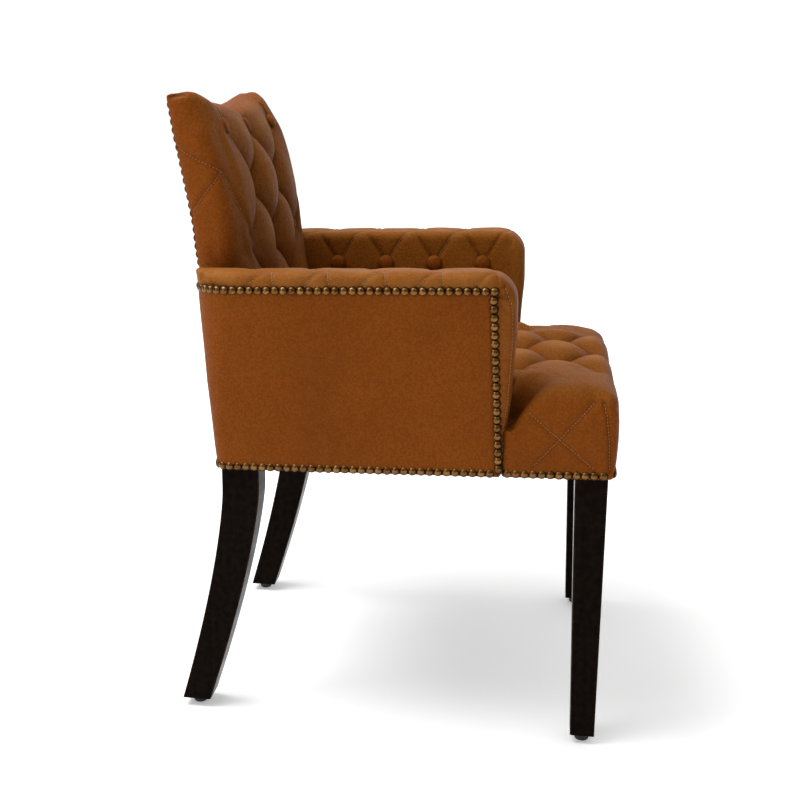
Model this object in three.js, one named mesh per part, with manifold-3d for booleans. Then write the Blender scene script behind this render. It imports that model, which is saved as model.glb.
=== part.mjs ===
// Upholstered armchair with a tufted back, seat and arms, in millimetres with +Z up.
// The chair faces -Y, +X is the sitter's left, and the origin is on the floor under its middle.
// Everything above the legs is drawn level and then sheared by SEAT_SLOPE, because the side
// rails run down towards the back while posts and legs stay plumb.

import * as THREE from 'three';
import { mergeVertices } from 'three/addons/utils/BufferGeometryUtils.js';
import Module from 'manifold-3d';

// ---- Driving dimensions -------------------------------------------------------------------

const GAP = 0.4;                 // room between pieces that touch
const SKIN = 4;                  // leather with its wadding, drawn as one sheet
const OVERSHOOT = 10;            // how far a cutting shape passes the surface it trims
const BEYOND = 100;              // the same, for shapes that pass right through

const SEAT_SLOPE = 0.0207;       // fall of the body per millimetre of depth
const BODY_BOTTOM = 398;
const BODY_FRONT = -309;         // where the slope starts
const BODY_HALF_WIDTH = 269.5;   // outer leather at the bottom edge
const ARM_FLARE = 0.0455;        // how far the arms lean out per millimetre of height
const REAR_CORNER_RADIUS = 30;

const RAIL_BOTTOM = 402;
const RAIL_TOP = 460;
const RAIL_THICKNESS = 24;
const SIDE_RAIL_OUTER = 262;
const FRONT_RAIL_FRONT = -303;
const REAR_RAIL_REAR = 234;
const BLOCK_WIDTH = 27;          // of the diagonal corner blocks
const BLOCK_BOTTOM = 408;
const BLOCK_TOP = 452;
const FRONT_BLOCK_REACH = 47;    // from the corner of the rails to the block, along each rail
const REAR_BLOCK_REACH = 76;

const BOLT_HEAD_RADIUS = 9;
const BOLT_HEAD_HEIGHT = 6;
const BOLT_SHANK_RADIUS = 3;
const BOLT_SHANK_LENGTH = 54;
const BOLT_HEIGHT = 429;

const FRONT_LEG_OUTER = 261;
const FRONT_LEG_FRONT = -304;
const FRONT_LEG_WIDTH = 45;      // across the chair, at the top
const FRONT_LEG_DEPTH = 44;      // front to back, at the top
const FRONT_LEG_FOOT_WIDTH = 37;
const FRONT_LEG_FOOT_DEPTH = 34;
const FRONT_LEG_OUTER_TAPER = 3;
const FRONT_LEG_TOP = 455;
const LEG_TAPER_START = 385;

const REAR_LEG_INNER = 196;
const REAR_LEG_OUTER = 240;
const REAR_LEG_REAR = 235.5;     // back edge of the straight upper part
const REAR_LEG_DEPTH = 54;
const REAR_LEG_FOOT_DEPTH = 42.5;
const REAR_LEG_TOP = 444;
const SABRE_KNEE = 345;          // height where the leg starts to sweep back
const SABRE_SWEEP = 70;
const SABRE_POWER = 1.4;

const GLIDE_HEIGHT = 13;
const GLIDE_RADIUS = 10;
const GLIDE_EDGE = 1.5;          // bevel round the underside
const GLIDE_PIN_RADIUS = 1.5;
const GLIDE_PIN_LENGTH = 16;

const SEAT_HALF_WIDTH = 268;     // in front of the arms
const SEAT_FRONT = -311;
const SEAT_TOP = 513;
const SEAT_FRONT_DROP = 3;       // the part in front of the arms is this much lower
const SEAT_TONGUE_HALF_WIDTH = 198;
const SEAT_TONGUE_FRONT = -299;
const SEAT_REAR = 172;
const SEAT_ARM_GAP = 1.5;        // between the seat's shoulders and the arms
const SEAT_EDGE_RADIUS = 22;     // along the top edges
const SEAT_CORNER_RADIUS = 8;    // up the corners

const STRAP_THICKNESS = 2.5;
const STRAP_WIDTH = 58;
const STRAP_SETBACK = 4;         // from the outer face of the rail it is tacked to
const SEAT_STRAPS = 4;
const SEAT_STRAP_PITCH = 86;
const BACK_STRAPS = 3;
const BACK_STRAP_PITCH = 95;
const BACK_STRAP_BOTTOM = 545;

const ARM_TOP = 676;
const ARM_NAIL_HEIGHT = 653;
const ARM_FRONT = -177;
const ARM_FOOT_SETBACK = 8;      // the front slopes back this much towards the seat
const ARM_FRONT_FACE = 86;       // height of the plumb part of the front
const ARM_INNER = 201;
const ARM_BAND = 20;             // thickness of the padded band over the top and down the front
const ARM_NOSE_RADIUS = 40;
const ARM_REAR = 241;
const ARM_LEAN_START = 181;      // behind this the arm follows the back's rear surface
const ARM_POST_INNER = 236;
const ARM_POST_OUTER = 260;
const ARM_POST_DEPTH = 40;
const ARM_POST_REAR = 227;
const ARM_WRAP_GAP = 1.5;        // between the wrapped outside cover and the outside back

const BACK_HALF_WIDTH = 200;
const BACK_FOOT_REAR = 242;      // rear surface at the height BACK_FOOT
const BACK_FOOT = 402;
const BACK_LEAN = 0.045;         // slope of the rear surface at its foot
const BACK_SWEEP = 0.000187;     // how fast that slope grows
const BACK_THICKNESS = 72;
const BACK_TAPER_START = 792;
const BACK_TAPER = 0.00167;      // loss of thickness towards the top edge, per square millimetre
const BACK_EAR_TOP = 912;
const BACK_MIDDLE_TOP = 891;
const BACK_EAR_WIDTH = 60;
const BACK_EAR_FALL = 6;         // from the ear's top to the start of the dip
const BACK_EAR_SHOULDER = 40;    // length of the curve that leaves the ear
const BACK_DIP_HALF = 60;        // half the length of the flat middle of the dip
const BACK_TOP_RADIUS = 14;
const BACK_POST_DEPTH = 30;
const BACK_POST_INNER = 160;
const BACK_POST_OUTER = 194;
const BACK_POST_COVER = 8;       // upholstery behind the posts
const BACK_FRAME_TOP = 872;
const BACK_TOP_RAIL_BOTTOM = 812;
const BACK_LOWER_RAIL_BOTTOM = 540;
const BACK_LOWER_RAIL_TOP = 590;
const OUTSIDE_BACK_TOP = 905;

const DUST_COVER_THICKNESS = 1.5;
const DUST_COVER_MARGIN = 2;     // kept clear of the legs and of the leather

const NAIL_STRIP_WIDTH = 9;
const NAIL_STRIP_THICKNESS = 2;
const HEM_NAIL_HEIGHT = 404.5;   // row along the bottom edge
const NAIL_ARM_TOP_SETBACK = 31; // from the arm's front to the top of the upright row
const NAIL_ARM_FOOT_SETBACK = 20;
const NAIL_CORNER_MARGIN = 4;    // kept clear of a rounded corner

const CURVE_SEGMENTS = 6;
const ROUND_SEGMENTS = 20;

// ---- Materials ----------------------------------------------------------------------------

function finish(color, roughness, metalness) {
  return new THREE.MeshStandardMaterial({ color, roughness, metalness });
}

const leather = finish(0x9a5a25, 0.5, 0);
const espresso = finish(0x120d0b, 0.25, 0);
const frameWood = finish(0xb98f5a, 0.8, 0);
const foam = finish(0xe8dcb0, 0.95, 0);
const webbing = finish(0x2d2a27, 0.9, 0);
const cambric = finish(0x1b1b1c, 0.95, 0);
const brass = finish(0x8a6430, 0.35, 0.9);
const steel = finish(0x9a9da0, 0.4, 0.9);
const plastic = finish(0x151515, 0.6, 0);

// ---- Geometry tools -----------------------------------------------------------------------

const wasm = await Module();
wasm.setup();

const X = new THREE.Vector3(1, 0, 0);
const Y = new THREE.Vector3(0, 1, 0);
const Z = new THREE.Vector3(0, 0, 1);
const QUARTER = Math.PI / 2;

// Shears the level body onto its slope: the further back, the lower.
const slope = new THREE.Matrix4().set(
  1, 0, 0, 0,
  0, 1, 0, 0,
  0, -SEAT_SLOPE, 1, SEAT_SLOPE * BODY_FRONT,
  0, 0, 0, 1,
);

// Leans the sitter's left arm outwards with height.
const flare = new THREE.Matrix4().set(
  1, 0, ARM_FLARE, -ARM_FLARE * BODY_BOTTOM,
  0, 1, 0, 0,
  0, 0, 1, 0,
  0, 0, 0, 1,
);

function welded(geometry) {
  const bare = geometry.clone();
  bare.deleteAttribute('normal');
  bare.deleteAttribute('uv');
  return mergeVertices(bare, 1e-3);
}

function toSolid(geometry) {
  const clean = welded(geometry);
  return new wasm.Manifold(new wasm.Mesh({
    numProp: 3,
    vertProperties: new Float32Array(clean.attributes.position.array),
    triVerts: new Uint32Array(clean.index.array),
  }));
}

function toGeometry(solid) {
  const mesh = solid.getMesh();
  const geometry = new THREE.BufferGeometry();
  geometry.setAttribute('position', new THREE.BufferAttribute(mesh.vertProperties, 3));
  geometry.setIndex(new THREE.BufferAttribute(mesh.triVerts, 1));
  return geometry;
}

function cut(geometry, ...tools) {
  return toGeometry(tools.reduce((solid, tool) => solid.subtract(toSolid(tool)), toSolid(geometry)));
}

function join(...geometries) {
  return toGeometry(geometries.map(toSolid).reduce((all, solid) => all.add(solid)));
}

function common(...geometries) {
  return toGeometry(geometries.map(toSolid).reduce((all, solid) => all.intersect(solid)));
}

// The same piece for the other side of the chair: x changes sign and the faces turn over.
function mirrored(geometry) {
  const copy = welded(geometry).applyMatrix4(new THREE.Matrix4().makeScale(-1, 1, 1));
  const index = copy.index.array;
  for (let i = 0; i < index.length; i += 3) {
    [index[i + 1], index[i + 2]] = [index[i + 2], index[i + 1]];
  }
  return copy;
}

// The same piece turned over front to back: y changes sign.
function turnedOver(geometry) {
  return mirrored(geometry).applyMatrix4(new THREE.Matrix4().makeRotationZ(Math.PI));
}

function block(x0, x1, y0, y1, z0, z1) {
  const geometry = new THREE.BoxGeometry(x1 - x0, y1 - y0, z1 - z0);
  return geometry.translate((x0 + x1) / 2, (y0 + y1) / 2, (z0 + z1) / 2);
}

function polygon(points) {
  return new THREE.Shape(points.map(([a, b]) => new THREE.Vector2(a, b)));
}

function turned(points, segments) {
  return new THREE.LatheGeometry(points.map(([r, h]) => new THREE.Vector2(r, h)), segments);
}

function extruded(outline, depth) {
  return new THREE.ExtrudeGeometry(outline, {
    depth, bevelEnabled: false, curveSegments: CURVE_SEGMENTS,
  });
}

// An outline in the (y, z) plane, drawn along x.
function alongX(outline, x0, x1) {
  return extruded(outline, x1 - x0)
    .applyMatrix4(new THREE.Matrix4().makeBasis(Y, Z, X))
    .translate(x0, 0, 0);
}

// An outline in the (x, z) plane, drawn along y.
function alongY(outline, y0, y1) {
  return extruded(outline, y1 - y0)
    .applyMatrix4(new THREE.Matrix4().makeBasis(X, Z, Y.clone().negate()))
    .translate(0, y1, 0);
}

// An outline in the (x, y) plane, drawn up z.
function alongZ(outline, z0, z1) {
  return extruded(outline, z1 - z0).translate(0, 0, z0);
}

// A rectangle from (a0, z0) to (a1, z1) whose two upper corners are rounded.
function domed(a0, a1, z0, z1, radius) {
  const outline = new THREE.Shape();
  outline.moveTo(a0, z0);
  outline.lineTo(a1, z0);
  outline.lineTo(a1, z1 - radius);
  outline.absarc(a1 - radius, z1 - radius, radius, 0, QUARTER, false);
  outline.lineTo(a0 + radius, z1);
  outline.absarc(a0 + radius, z1 - radius, radius, QUARTER, 2 * QUARTER, false);
  return outline;
}

function roundedPlan(x0, x1, y0, y1, radius) {
  const plan = new THREE.Shape();
  plan.moveTo(x0 + radius, y0);
  plan.lineTo(x1 - radius, y0);
  plan.absarc(x1 - radius, y0 + radius, radius, -QUARTER, 0, false);
  plan.lineTo(x1, y1 - radius);
  plan.absarc(x1 - radius, y1 - radius, radius, 0, QUARTER, false);
  plan.lineTo(x0 + radius, y1);
  plan.absarc(x0 + radius, y1 - radius, radius, QUARTER, 2 * QUARTER, false);
  plan.lineTo(x0, y0 + radius);
  plan.absarc(x0 + radius, y0 + radius, radius, 2 * QUARTER, 3 * QUARTER, false);
  return plan;
}

// A flat-bottomed cushion: its top edges are rounded more than its upright corners.
function cushion(x0, x1, y0, y1, z0, z1, topRadius, cornerRadius) {
  return common(
    alongX(domed(y0, y1, z0, z1, topRadius), x0, x1),
    alongY(domed(x0, x1, z0, z1, topRadius), y0, y1),
    alongZ(roundedPlan(x0, x1, y0, y1, cornerRadius), z0, z1),
  );
}

// ---- The chair as groups ------------------------------------------------------------------

const chair = new THREE.Group();
const body = new THREE.Group();
body.matrixAutoUpdate = false;
body.matrix.copy(slope);
chair.add(body);

function add(group, name, geometry, material) {
  const mesh = new THREE.Mesh(geometry, material);
  mesh.name = name;
  group.add(mesh);
}

function addPair(group, name, geometry, material) {
  add(group, `${name}_left`, geometry, material);
  add(group, `${name}_right`, mirrored(geometry), material);
}

function addArmPair(name, geometry, material) {
  addPair(body, name, geometry.applyMatrix4(flare), material);
}

// ---- The back's curves --------------------------------------------------------------------

function rearOfBack(z) {
  const rise = z - BACK_FOOT;
  return BACK_FOOT_REAR + BACK_LEAN * rise + BACK_SWEEP * rise * rise;
}

function frontOfBack(z) {
  const past = Math.max(0, z - BACK_TAPER_START);
  return rearOfBack(z) - BACK_THICKNESS + BACK_TAPER * past * past;
}

function heightSteps(z0, z1, count) {
  return Array.from({ length: count + 1 }, (_, i) => z0 + (z1 - z0) * i / count);
}

// A sheet or board that follows the rear surface, from near to far in front of it.
function backBand(z0, z1, near, far, count) {
  const steps = heightSteps(z0, z1, count);
  const rear = steps.map((z) => [rearOfBack(z) - near, z]);
  const front = steps.map((z) => [rearOfBack(z) - far, z]).reverse();
  return polygon([...rear, ...front]);
}

const BACK_STEPS = 10;

// The padded back seen from the side, its front and rear moved in, its top edges rounded.
function backProfile(z0, top, frontInset, rearInset) {
  const shoulder = top - BACK_TOP_RADIUS;
  const steps = heightSteps(z0, shoulder, BACK_STEPS);
  const outline = polygon(steps.map((z) => [frontOfBack(z) + frontInset, z]));
  const topFront = frontOfBack(shoulder) + frontInset;
  const topRear = rearOfBack(shoulder) - rearInset;
  outline.quadraticCurveTo(topFront, top, topFront + BACK_TOP_RADIUS, top);
  outline.lineTo(topRear - BACK_TOP_RADIUS, top);
  outline.quadraticCurveTo(topRear, top, topRear, shoulder);
  for (const z of steps.reverse().slice(1)) {
    outline.lineTo(rearOfBack(z) - rearInset, z);
  }
  return outline;
}

// The back seen from the front: straight sides, a rounded ear at each corner and a dip between.
function backFace(z0, inset) {
  const side = BACK_HALF_WIDTH - inset;
  const ear = BACK_EAR_TOP - inset;
  const dip = BACK_MIDDLE_TOP - inset;
  const inner = side - BACK_EAR_WIDTH;
  const shoulder = inner - BACK_EAR_SHOULDER;
  const fall = ear - BACK_EAR_FALL;
  const outline = new THREE.Shape();
  outline.moveTo(-side, z0);
  outline.lineTo(side, z0);
  outline.lineTo(side, ear - BACK_TOP_RADIUS);
  outline.quadraticCurveTo(side, ear, side - BACK_TOP_RADIUS, ear);
  outline.lineTo(inner, ear - BACK_EAR_FALL / 3);
  outline.bezierCurveTo(shoulder, fall, BACK_DIP_HALF, dip, 0, dip);
  outline.bezierCurveTo(-BACK_DIP_HALF, dip, -shoulder, fall, -inner, ear - BACK_EAR_FALL / 3);
  outline.lineTo(BACK_TOP_RADIUS - side, ear);
  outline.quadraticCurveTo(-side, ear, -side, ear - BACK_TOP_RADIUS);
  return outline;
}

// ---- Frame corners: diagonal blocks and leg bolts -----------------------------------------

const sideRailInner = SIDE_RAIL_OUTER - RAIL_THICKNESS;
const frontRailRear = FRONT_RAIL_FRONT + RAIL_THICKNESS;
const rearRailFront = REAR_RAIL_REAR - RAIL_THICKNESS;

// A bolt lying level and turned 45 degrees towards a front leg, grown all round by grow.
function bolt(x, y, grow) {
  const head = BOLT_HEAD_RADIUS + grow;
  const shank = BOLT_SHANK_RADIUS + grow;
  const top = -BOLT_HEAD_HEIGHT - grow;
  const tip = BOLT_SHANK_LENGTH + grow;
  return turned([[0, top], [head, top], [head, 0], [shank, 0], [shank, tip], [0, tip]], 12)
    .rotateZ(-1.5 * QUARTER)
    .translate(x, y, BOLT_HEIGHT);
}

// One corner, drawn as a front one. The bolt's axis passes through the leg's centre and its
// head sits on the inner face of the block.
function frameCorner(legX, legY, railY, reach) {
  const side = sideRailInner - GAP;
  const end = railY + GAP;
  const far = reach + BLOCK_WIDTH;
  const outline = polygon([[side, end + reach], [side, end + far], [side - far, end], [side - reach, end]]);
  const sum = legX + legY;
  const difference = side - end - far - GAP * Math.SQRT2;
  const place = [(sum + difference) / 2, (sum - difference) / 2];
  const clearance = bolt(...place, GAP);
  const diagonal = cut(alongZ(outline, BLOCK_BOTTOM, BLOCK_TOP), clearance);
  return { diagonal, bolt: bolt(...place, 0), clearance };
}

const frontCorner = frameCorner(
  FRONT_LEG_OUTER - FRONT_LEG_WIDTH / 2, FRONT_LEG_FRONT + FRONT_LEG_DEPTH / 2,
  frontRailRear, FRONT_BLOCK_REACH,
);
const rearCorner = frameCorner(
  (REAR_LEG_INNER + REAR_LEG_OUTER) / 2, REAR_LEG_DEPTH / 2 - REAR_LEG_REAR,
  -rearRailFront, REAR_BLOCK_REACH,
);

addPair(body, 'front_corner_block', frontCorner.diagonal, frameWood);
addPair(body, 'rear_corner_block', turnedOver(rearCorner.diagonal), frameWood);
addPair(body, 'front_leg_bolt', frontCorner.bolt, steel);
addPair(body, 'rear_leg_bolt', turnedOver(rearCorner.bolt), steel);

// ---- Legs and glides ----------------------------------------------------------------------

// A nail-on glide under a foot, its pin grown by grow to make the hole for it.
function glide(x, y, grow) {
  const neck = GLIDE_HEIGHT - GAP;
  const pin = GLIDE_PIN_RADIUS + grow;
  const tip = GLIDE_HEIGHT + GLIDE_PIN_LENGTH + grow;
  const profile = [
    [0, 0], [GLIDE_RADIUS - GLIDE_EDGE, 0], [GLIDE_RADIUS, GLIDE_EDGE], [GLIDE_RADIUS, neck],
    [pin, neck], [pin, tip], [0, tip],
  ];
  return turned(profile, ROUND_SEGMENTS).rotateX(QUARTER).translate(x, y, 0);
}

// A square leg whose front face stays plumb while the other faces taper towards the foot.
function frontLeg() {
  const inner = FRONT_LEG_OUTER - FRONT_LEG_WIDTH;
  const rear = FRONT_LEG_FRONT + FRONT_LEG_DEPTH;
  const footOuter = FRONT_LEG_OUTER - FRONT_LEG_OUTER_TAPER;
  const footInner = footOuter - FRONT_LEG_FOOT_WIDTH;
  const fromFront = alongY(polygon([
    [footInner, GLIDE_HEIGHT], [footOuter, GLIDE_HEIGHT], [FRONT_LEG_OUTER, LEG_TAPER_START],
    [FRONT_LEG_OUTER, FRONT_LEG_TOP], [inner, FRONT_LEG_TOP], [inner, LEG_TAPER_START],
  ]), FRONT_LEG_FRONT - OVERSHOOT, rear + OVERSHOOT);
  const fromSide = alongX(polygon([
    [FRONT_LEG_FRONT, GLIDE_HEIGHT], [FRONT_LEG_FRONT + FRONT_LEG_FOOT_DEPTH, GLIDE_HEIGHT],
    [rear, LEG_TAPER_START], [rear, FRONT_LEG_TOP], [FRONT_LEG_FRONT, FRONT_LEG_TOP],
  ]), inner - OVERSHOOT, FRONT_LEG_OUTER + OVERSHOOT);
  return common(fromFront, fromSide);
}

function sabreDrop(z) {
  return Math.max(0, SABRE_KNEE - z) / (SABRE_KNEE - GLIDE_HEIGHT);
}

// The back edge of the sabre leg: plumb above the knee, then sweeping back to the foot.
function sabreRear(z) {
  return REAR_LEG_REAR + SABRE_SWEEP * sabreDrop(z) ** SABRE_POWER;
}

function sabreFront(z) {
  return sabreRear(z) - THREE.MathUtils.lerp(REAR_LEG_DEPTH, REAR_LEG_FOOT_DEPTH, sabreDrop(z));
}

const SABRE_STEPS = 12;

function rearLeg() {
  const steps = [REAR_LEG_TOP, ...heightSteps(SABRE_KNEE, GLIDE_HEIGHT, SABRE_STEPS)];
  const rear = steps.map((z) => [sabreRear(z), z]);
  const front = steps.map((z) => [sabreFront(z), z]).reverse();
  return alongX(polygon([...rear, ...front]), REAR_LEG_INNER, REAR_LEG_OUTER);
}

const frontFoot = [
  FRONT_LEG_OUTER - FRONT_LEG_OUTER_TAPER - FRONT_LEG_FOOT_WIDTH / 2,
  FRONT_LEG_FRONT + FRONT_LEG_FOOT_DEPTH / 2,
];
const rearFoot = [
  (REAR_LEG_INNER + REAR_LEG_OUTER) / 2,
  sabreRear(GLIDE_HEIGHT) - REAR_LEG_FOOT_DEPTH / 2,
];
const frontBoltHole = frontCorner.clearance.clone().applyMatrix4(slope);
const rearBoltHole = turnedOver(rearCorner.clearance).applyMatrix4(slope);

addPair(chair, 'front_leg', cut(frontLeg(), glide(...frontFoot, GAP), frontBoltHole), espresso);
addPair(chair, 'front_glide', glide(...frontFoot, 0), plastic);
addPair(chair, 'rear_leg', cut(rearLeg(), glide(...rearFoot, GAP), rearBoltHole), espresso);
addPair(chair, 'rear_glide', glide(...rearFoot, 0), plastic);

// ---- Seat frame ---------------------------------------------------------------------------

const frontLegInner = FRONT_LEG_OUTER - FRONT_LEG_WIDTH - GAP;
const frontLegRear = FRONT_LEG_FRONT + FRONT_LEG_DEPTH + GAP;
const rearLegInner = REAR_LEG_INNER - GAP;
const rearLegFront = REAR_LEG_REAR - REAR_LEG_DEPTH - GAP;

add(body, 'front_rail', block(
  -frontLegInner, frontLegInner, FRONT_RAIL_FRONT, frontRailRear, RAIL_BOTTOM, RAIL_TOP,
), frameWood);
add(body, 'rear_rail', block(
  -rearLegInner, rearLegInner, rearRailFront, REAR_RAIL_REAR, RAIL_BOTTOM, RAIL_TOP,
), frameWood);
addPair(body, 'side_rail', block(
  sideRailInner, SIDE_RAIL_OUTER, frontLegRear, rearLegFront, RAIL_BOTTOM, RAIL_TOP,
), frameWood);

// ---- Arm frames ---------------------------------------------------------------------------

const postBottom = RAIL_TOP + GAP;
const armRailTop = ARM_NAIL_HEIGHT + 2;
const armRailBottom = armRailTop - RAIL_THICKNESS;
const armPostTop = armRailBottom - GAP;
const armPostFront = ARM_FRONT + ARM_BAND + GAP;

addArmPair('arm_front_post', block(
  ARM_POST_INNER, ARM_POST_OUTER, armPostFront, armPostFront + ARM_POST_DEPTH, postBottom, armPostTop,
), frameWood);
addArmPair('arm_rear_post', block(
  ARM_POST_INNER, ARM_POST_OUTER, ARM_POST_REAR - ARM_POST_DEPTH, ARM_POST_REAR, postBottom, armPostTop,
), frameWood);
addArmPair('arm_rail', block(
  ARM_POST_INNER, ARM_POST_OUTER, armPostFront, ARM_POST_REAR, armRailBottom, armRailTop,
), frameWood);

// ---- Back frame ---------------------------------------------------------------------------

const backPostFar = BACK_POST_COVER + BACK_POST_DEPTH;
const backRailHalf = BACK_POST_INNER - GAP;

addPair(body, 'back_post', alongX(
  backBand(postBottom, BACK_FRAME_TOP, BACK_POST_COVER, backPostFar, BACK_STEPS),
  BACK_POST_INNER, BACK_POST_OUTER,
), frameWood);
add(body, 'back_top_rail', alongX(
  backBand(BACK_TOP_RAIL_BOTTOM, BACK_FRAME_TOP, BACK_POST_COVER, backPostFar, 2),
  -backRailHalf, backRailHalf,
), frameWood);
add(body, 'back_lower_rail', alongX(
  backBand(BACK_LOWER_RAIL_BOTTOM, BACK_LOWER_RAIL_TOP, BACK_POST_COVER, backPostFar, 2),
  -backRailHalf, backRailHalf,
), frameWood);

// ---- Webbing ------------------------------------------------------------------------------

const strapTop = postBottom + STRAP_THICKNESS;
for (let i = 0; i < SEAT_STRAPS; i += 1) {
  const x = (i - (SEAT_STRAPS - 1) / 2) * SEAT_STRAP_PITCH;
  add(body, `seat_strap_${i + 1}`, block(
    x - STRAP_WIDTH / 2, x + STRAP_WIDTH / 2,
    FRONT_RAIL_FRONT + STRAP_SETBACK, REAR_RAIL_REAR - STRAP_SETBACK, postBottom, strapTop,
  ), webbing);
}

const backStrapNear = backPostFar + GAP;
const backStrapFar = backStrapNear + STRAP_THICKNESS;
const backStrap = backBand(
  BACK_STRAP_BOTTOM, BACK_FRAME_TOP - STRAP_SETBACK, backStrapNear, backStrapFar, BACK_STEPS,
);
for (let i = 0; i < BACK_STRAPS; i += 1) {
  const x = (i - (BACK_STRAPS - 1) / 2) * BACK_STRAP_PITCH;
  add(body, `back_strap_${i + 1}`, alongX(backStrap, x - STRAP_WIDTH / 2, x + STRAP_WIDTH / 2), webbing);
}

// ---- Seat upholstery ----------------------------------------------------------------------

const softBottom = strapTop + GAP;
const seatShoulderRear = ARM_FRONT - SEAT_ARM_GAP;

// The part in front of the arms spans the chair; the tongue runs back between them.
function seatFrontPart(inset, bottom) {
  return cushion(
    inset - SEAT_HALF_WIDTH, SEAT_HALF_WIDTH - inset, SEAT_FRONT + inset, seatShoulderRear - inset,
    bottom, SEAT_TOP - SEAT_FRONT_DROP - inset, SEAT_EDGE_RADIUS - inset, SEAT_CORNER_RADIUS - inset,
  );
}

function seatTongue(inset, bottom) {
  return cushion(
    inset - SEAT_TONGUE_HALF_WIDTH, SEAT_TONGUE_HALF_WIDTH - inset,
    SEAT_TONGUE_FRONT + inset, SEAT_REAR - inset,
    bottom, SEAT_TOP - inset, SEAT_EDGE_RADIUS - inset, SEAT_CORNER_RADIUS - inset,
  );
}

const foamInset = SKIN + GAP;
add(body, 'seat_foam', join(seatFrontPart(foamInset, softBottom), seatTongue(foamInset, softBottom)), foam);

// The cover hangs down to the bottom edge round the front and stops at the rails between the arms.
const railPassage = block(
  SEAT_TONGUE_HALF_WIDTH - SKIN - 1, SEAT_HALF_WIDTH - SKIN,
  seatShoulderRear - SEAT_EDGE_RADIUS, seatShoulderRear + SEAT_ARM_GAP,
  BODY_BOTTOM - OVERSHOOT, softBottom,
);
add(body, 'seat_cover', cut(
  join(seatFrontPart(0, BODY_BOTTOM), seatTongue(0, softBottom)),
  seatFrontPart(SKIN, BODY_BOTTOM - OVERSHOOT), seatTongue(SKIN, BODY_BOTTOM - OVERSHOOT),
  railPassage, mirrored(railPassage),
), leather);

// ---- Arm upholstery -----------------------------------------------------------------------

// The rear faces follow the back's rear surface as it leans away with height.
function followRear(geometry) {
  const shaped = welded(geometry);
  const position = shaped.attributes.position;
  for (let i = 0; i < position.count; i += 1) {
    const share = THREE.MathUtils.inverseLerp(ARM_LEAN_START, ARM_REAR, position.getY(i));
    const lean = rearOfBack(position.getZ(i)) - BACK_FOOT_REAR;
    position.setY(i, position.getY(i) + THREE.MathUtils.clamp(share, 0, 1) * lean);
  }
  return shaped;
}

// The arm's plan: straight inside, outside leather with a rounded rear corner.
function armPlan(inset) {
  const outer = BODY_HALF_WIDTH - inset;
  const rear = ARM_REAR - inset;
  const radius = REAR_CORNER_RADIUS - inset;
  const outline = new THREE.Shape();
  outline.moveTo(ARM_INNER, ARM_FRONT - OVERSHOOT);
  outline.lineTo(outer, ARM_FRONT - OVERSHOOT);
  outline.lineTo(outer, rear - radius);
  outline.absarc(outer - radius, rear - radius, radius, 0, QUARTER, false);
  outline.lineTo(ARM_INNER, rear);
  return outline;
}

const armPadBottom = postBottom + 2;

// A padded band over the top of the arm and down its front, seen from the side.
function armBandOutline() {
  const inner = ARM_FRONT + ARM_BAND;
  const under = ARM_TOP - ARM_BAND;
  const outline = new THREE.Shape();
  outline.moveTo(ARM_REAR, under);
  outline.lineTo(ARM_REAR, ARM_TOP);
  outline.lineTo(ARM_FRONT + ARM_NOSE_RADIUS, ARM_TOP);
  outline.absarc(
    ARM_FRONT + ARM_NOSE_RADIUS, ARM_TOP - ARM_NOSE_RADIUS, ARM_NOSE_RADIUS, QUARTER, 2 * QUARTER, false,
  );
  outline.lineTo(ARM_FRONT, ARM_TOP - ARM_FRONT_FACE);
  outline.lineTo(ARM_FRONT + ARM_FOOT_SETBACK, armPadBottom);
  outline.lineTo(inner, armPadBottom);
  outline.lineTo(inner, under);
  return outline;
}

addArmPair('arm_band', followRear(common(
  alongX(armBandOutline(), ARM_INNER, BODY_HALF_WIDTH),
  alongZ(armPlan(0), BODY_BOTTOM, ARM_TOP + OVERSHOOT),
)), leather);

const underBand = ARM_TOP - ARM_BAND - GAP;
const armPadInner = ARM_INNER + SKIN;
addArmPair('arm_foam', block(
  armPadInner + GAP, ARM_POST_INNER - GAP, armPostFront, ARM_POST_REAR, armPadBottom, underBand,
), foam);
addArmPair('inside_arm_cover', block(
  ARM_INNER, armPadInner, armPostFront, ARM_POST_REAR, armPadBottom, underBand,
), leather);

// The outside cover runs along the arm and wraps round the rear corner to the outside back.
const outsideLeather = common(
  alongZ(armPlan(0), BODY_BOTTOM, underBand),
  block(
    BACK_HALF_WIDTH + ARM_WRAP_GAP, BODY_HALF_WIDTH + OVERSHOOT, ARM_FRONT, ARM_REAR + OVERSHOOT,
    BODY_BOTTOM - OVERSHOOT, underBand + OVERSHOOT,
  ),
);
const outsideHollow = alongZ(armPlan(SKIN), BODY_BOTTOM - OVERSHOOT, underBand + OVERSHOOT);
const bandPassage = block(
  ARM_POST_INNER, BODY_HALF_WIDTH + OVERSHOOT, ARM_FRONT - OVERSHOOT, armPostFront,
  armPadBottom - GAP, underBand + OVERSHOOT,
);
addArmPair('outside_arm_cover', followRear(cut(outsideLeather, outsideHollow, bandPassage)), leather);

// ---- Back upholstery ----------------------------------------------------------------------

// The cover and all within it, open at the rear, moved in by inset on the other sides.
function backVolume(bottom, inset, rearInset) {
  const half = BACK_HALF_WIDTH + BEYOND;
  return common(
    alongX(backProfile(bottom, BACK_EAR_TOP - inset, inset, rearInset), -half, half),
    alongY(backFace(bottom, inset), BEYOND, BACK_FOOT_REAR + 2 * BEYOND),
  );
}

add(body, 'back_cover', cut(
  backVolume(softBottom, 0, 0),
  backVolume(softBottom - OVERSHOOT, SKIN, -BACK_THICKNESS / 2),
), leather);

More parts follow.
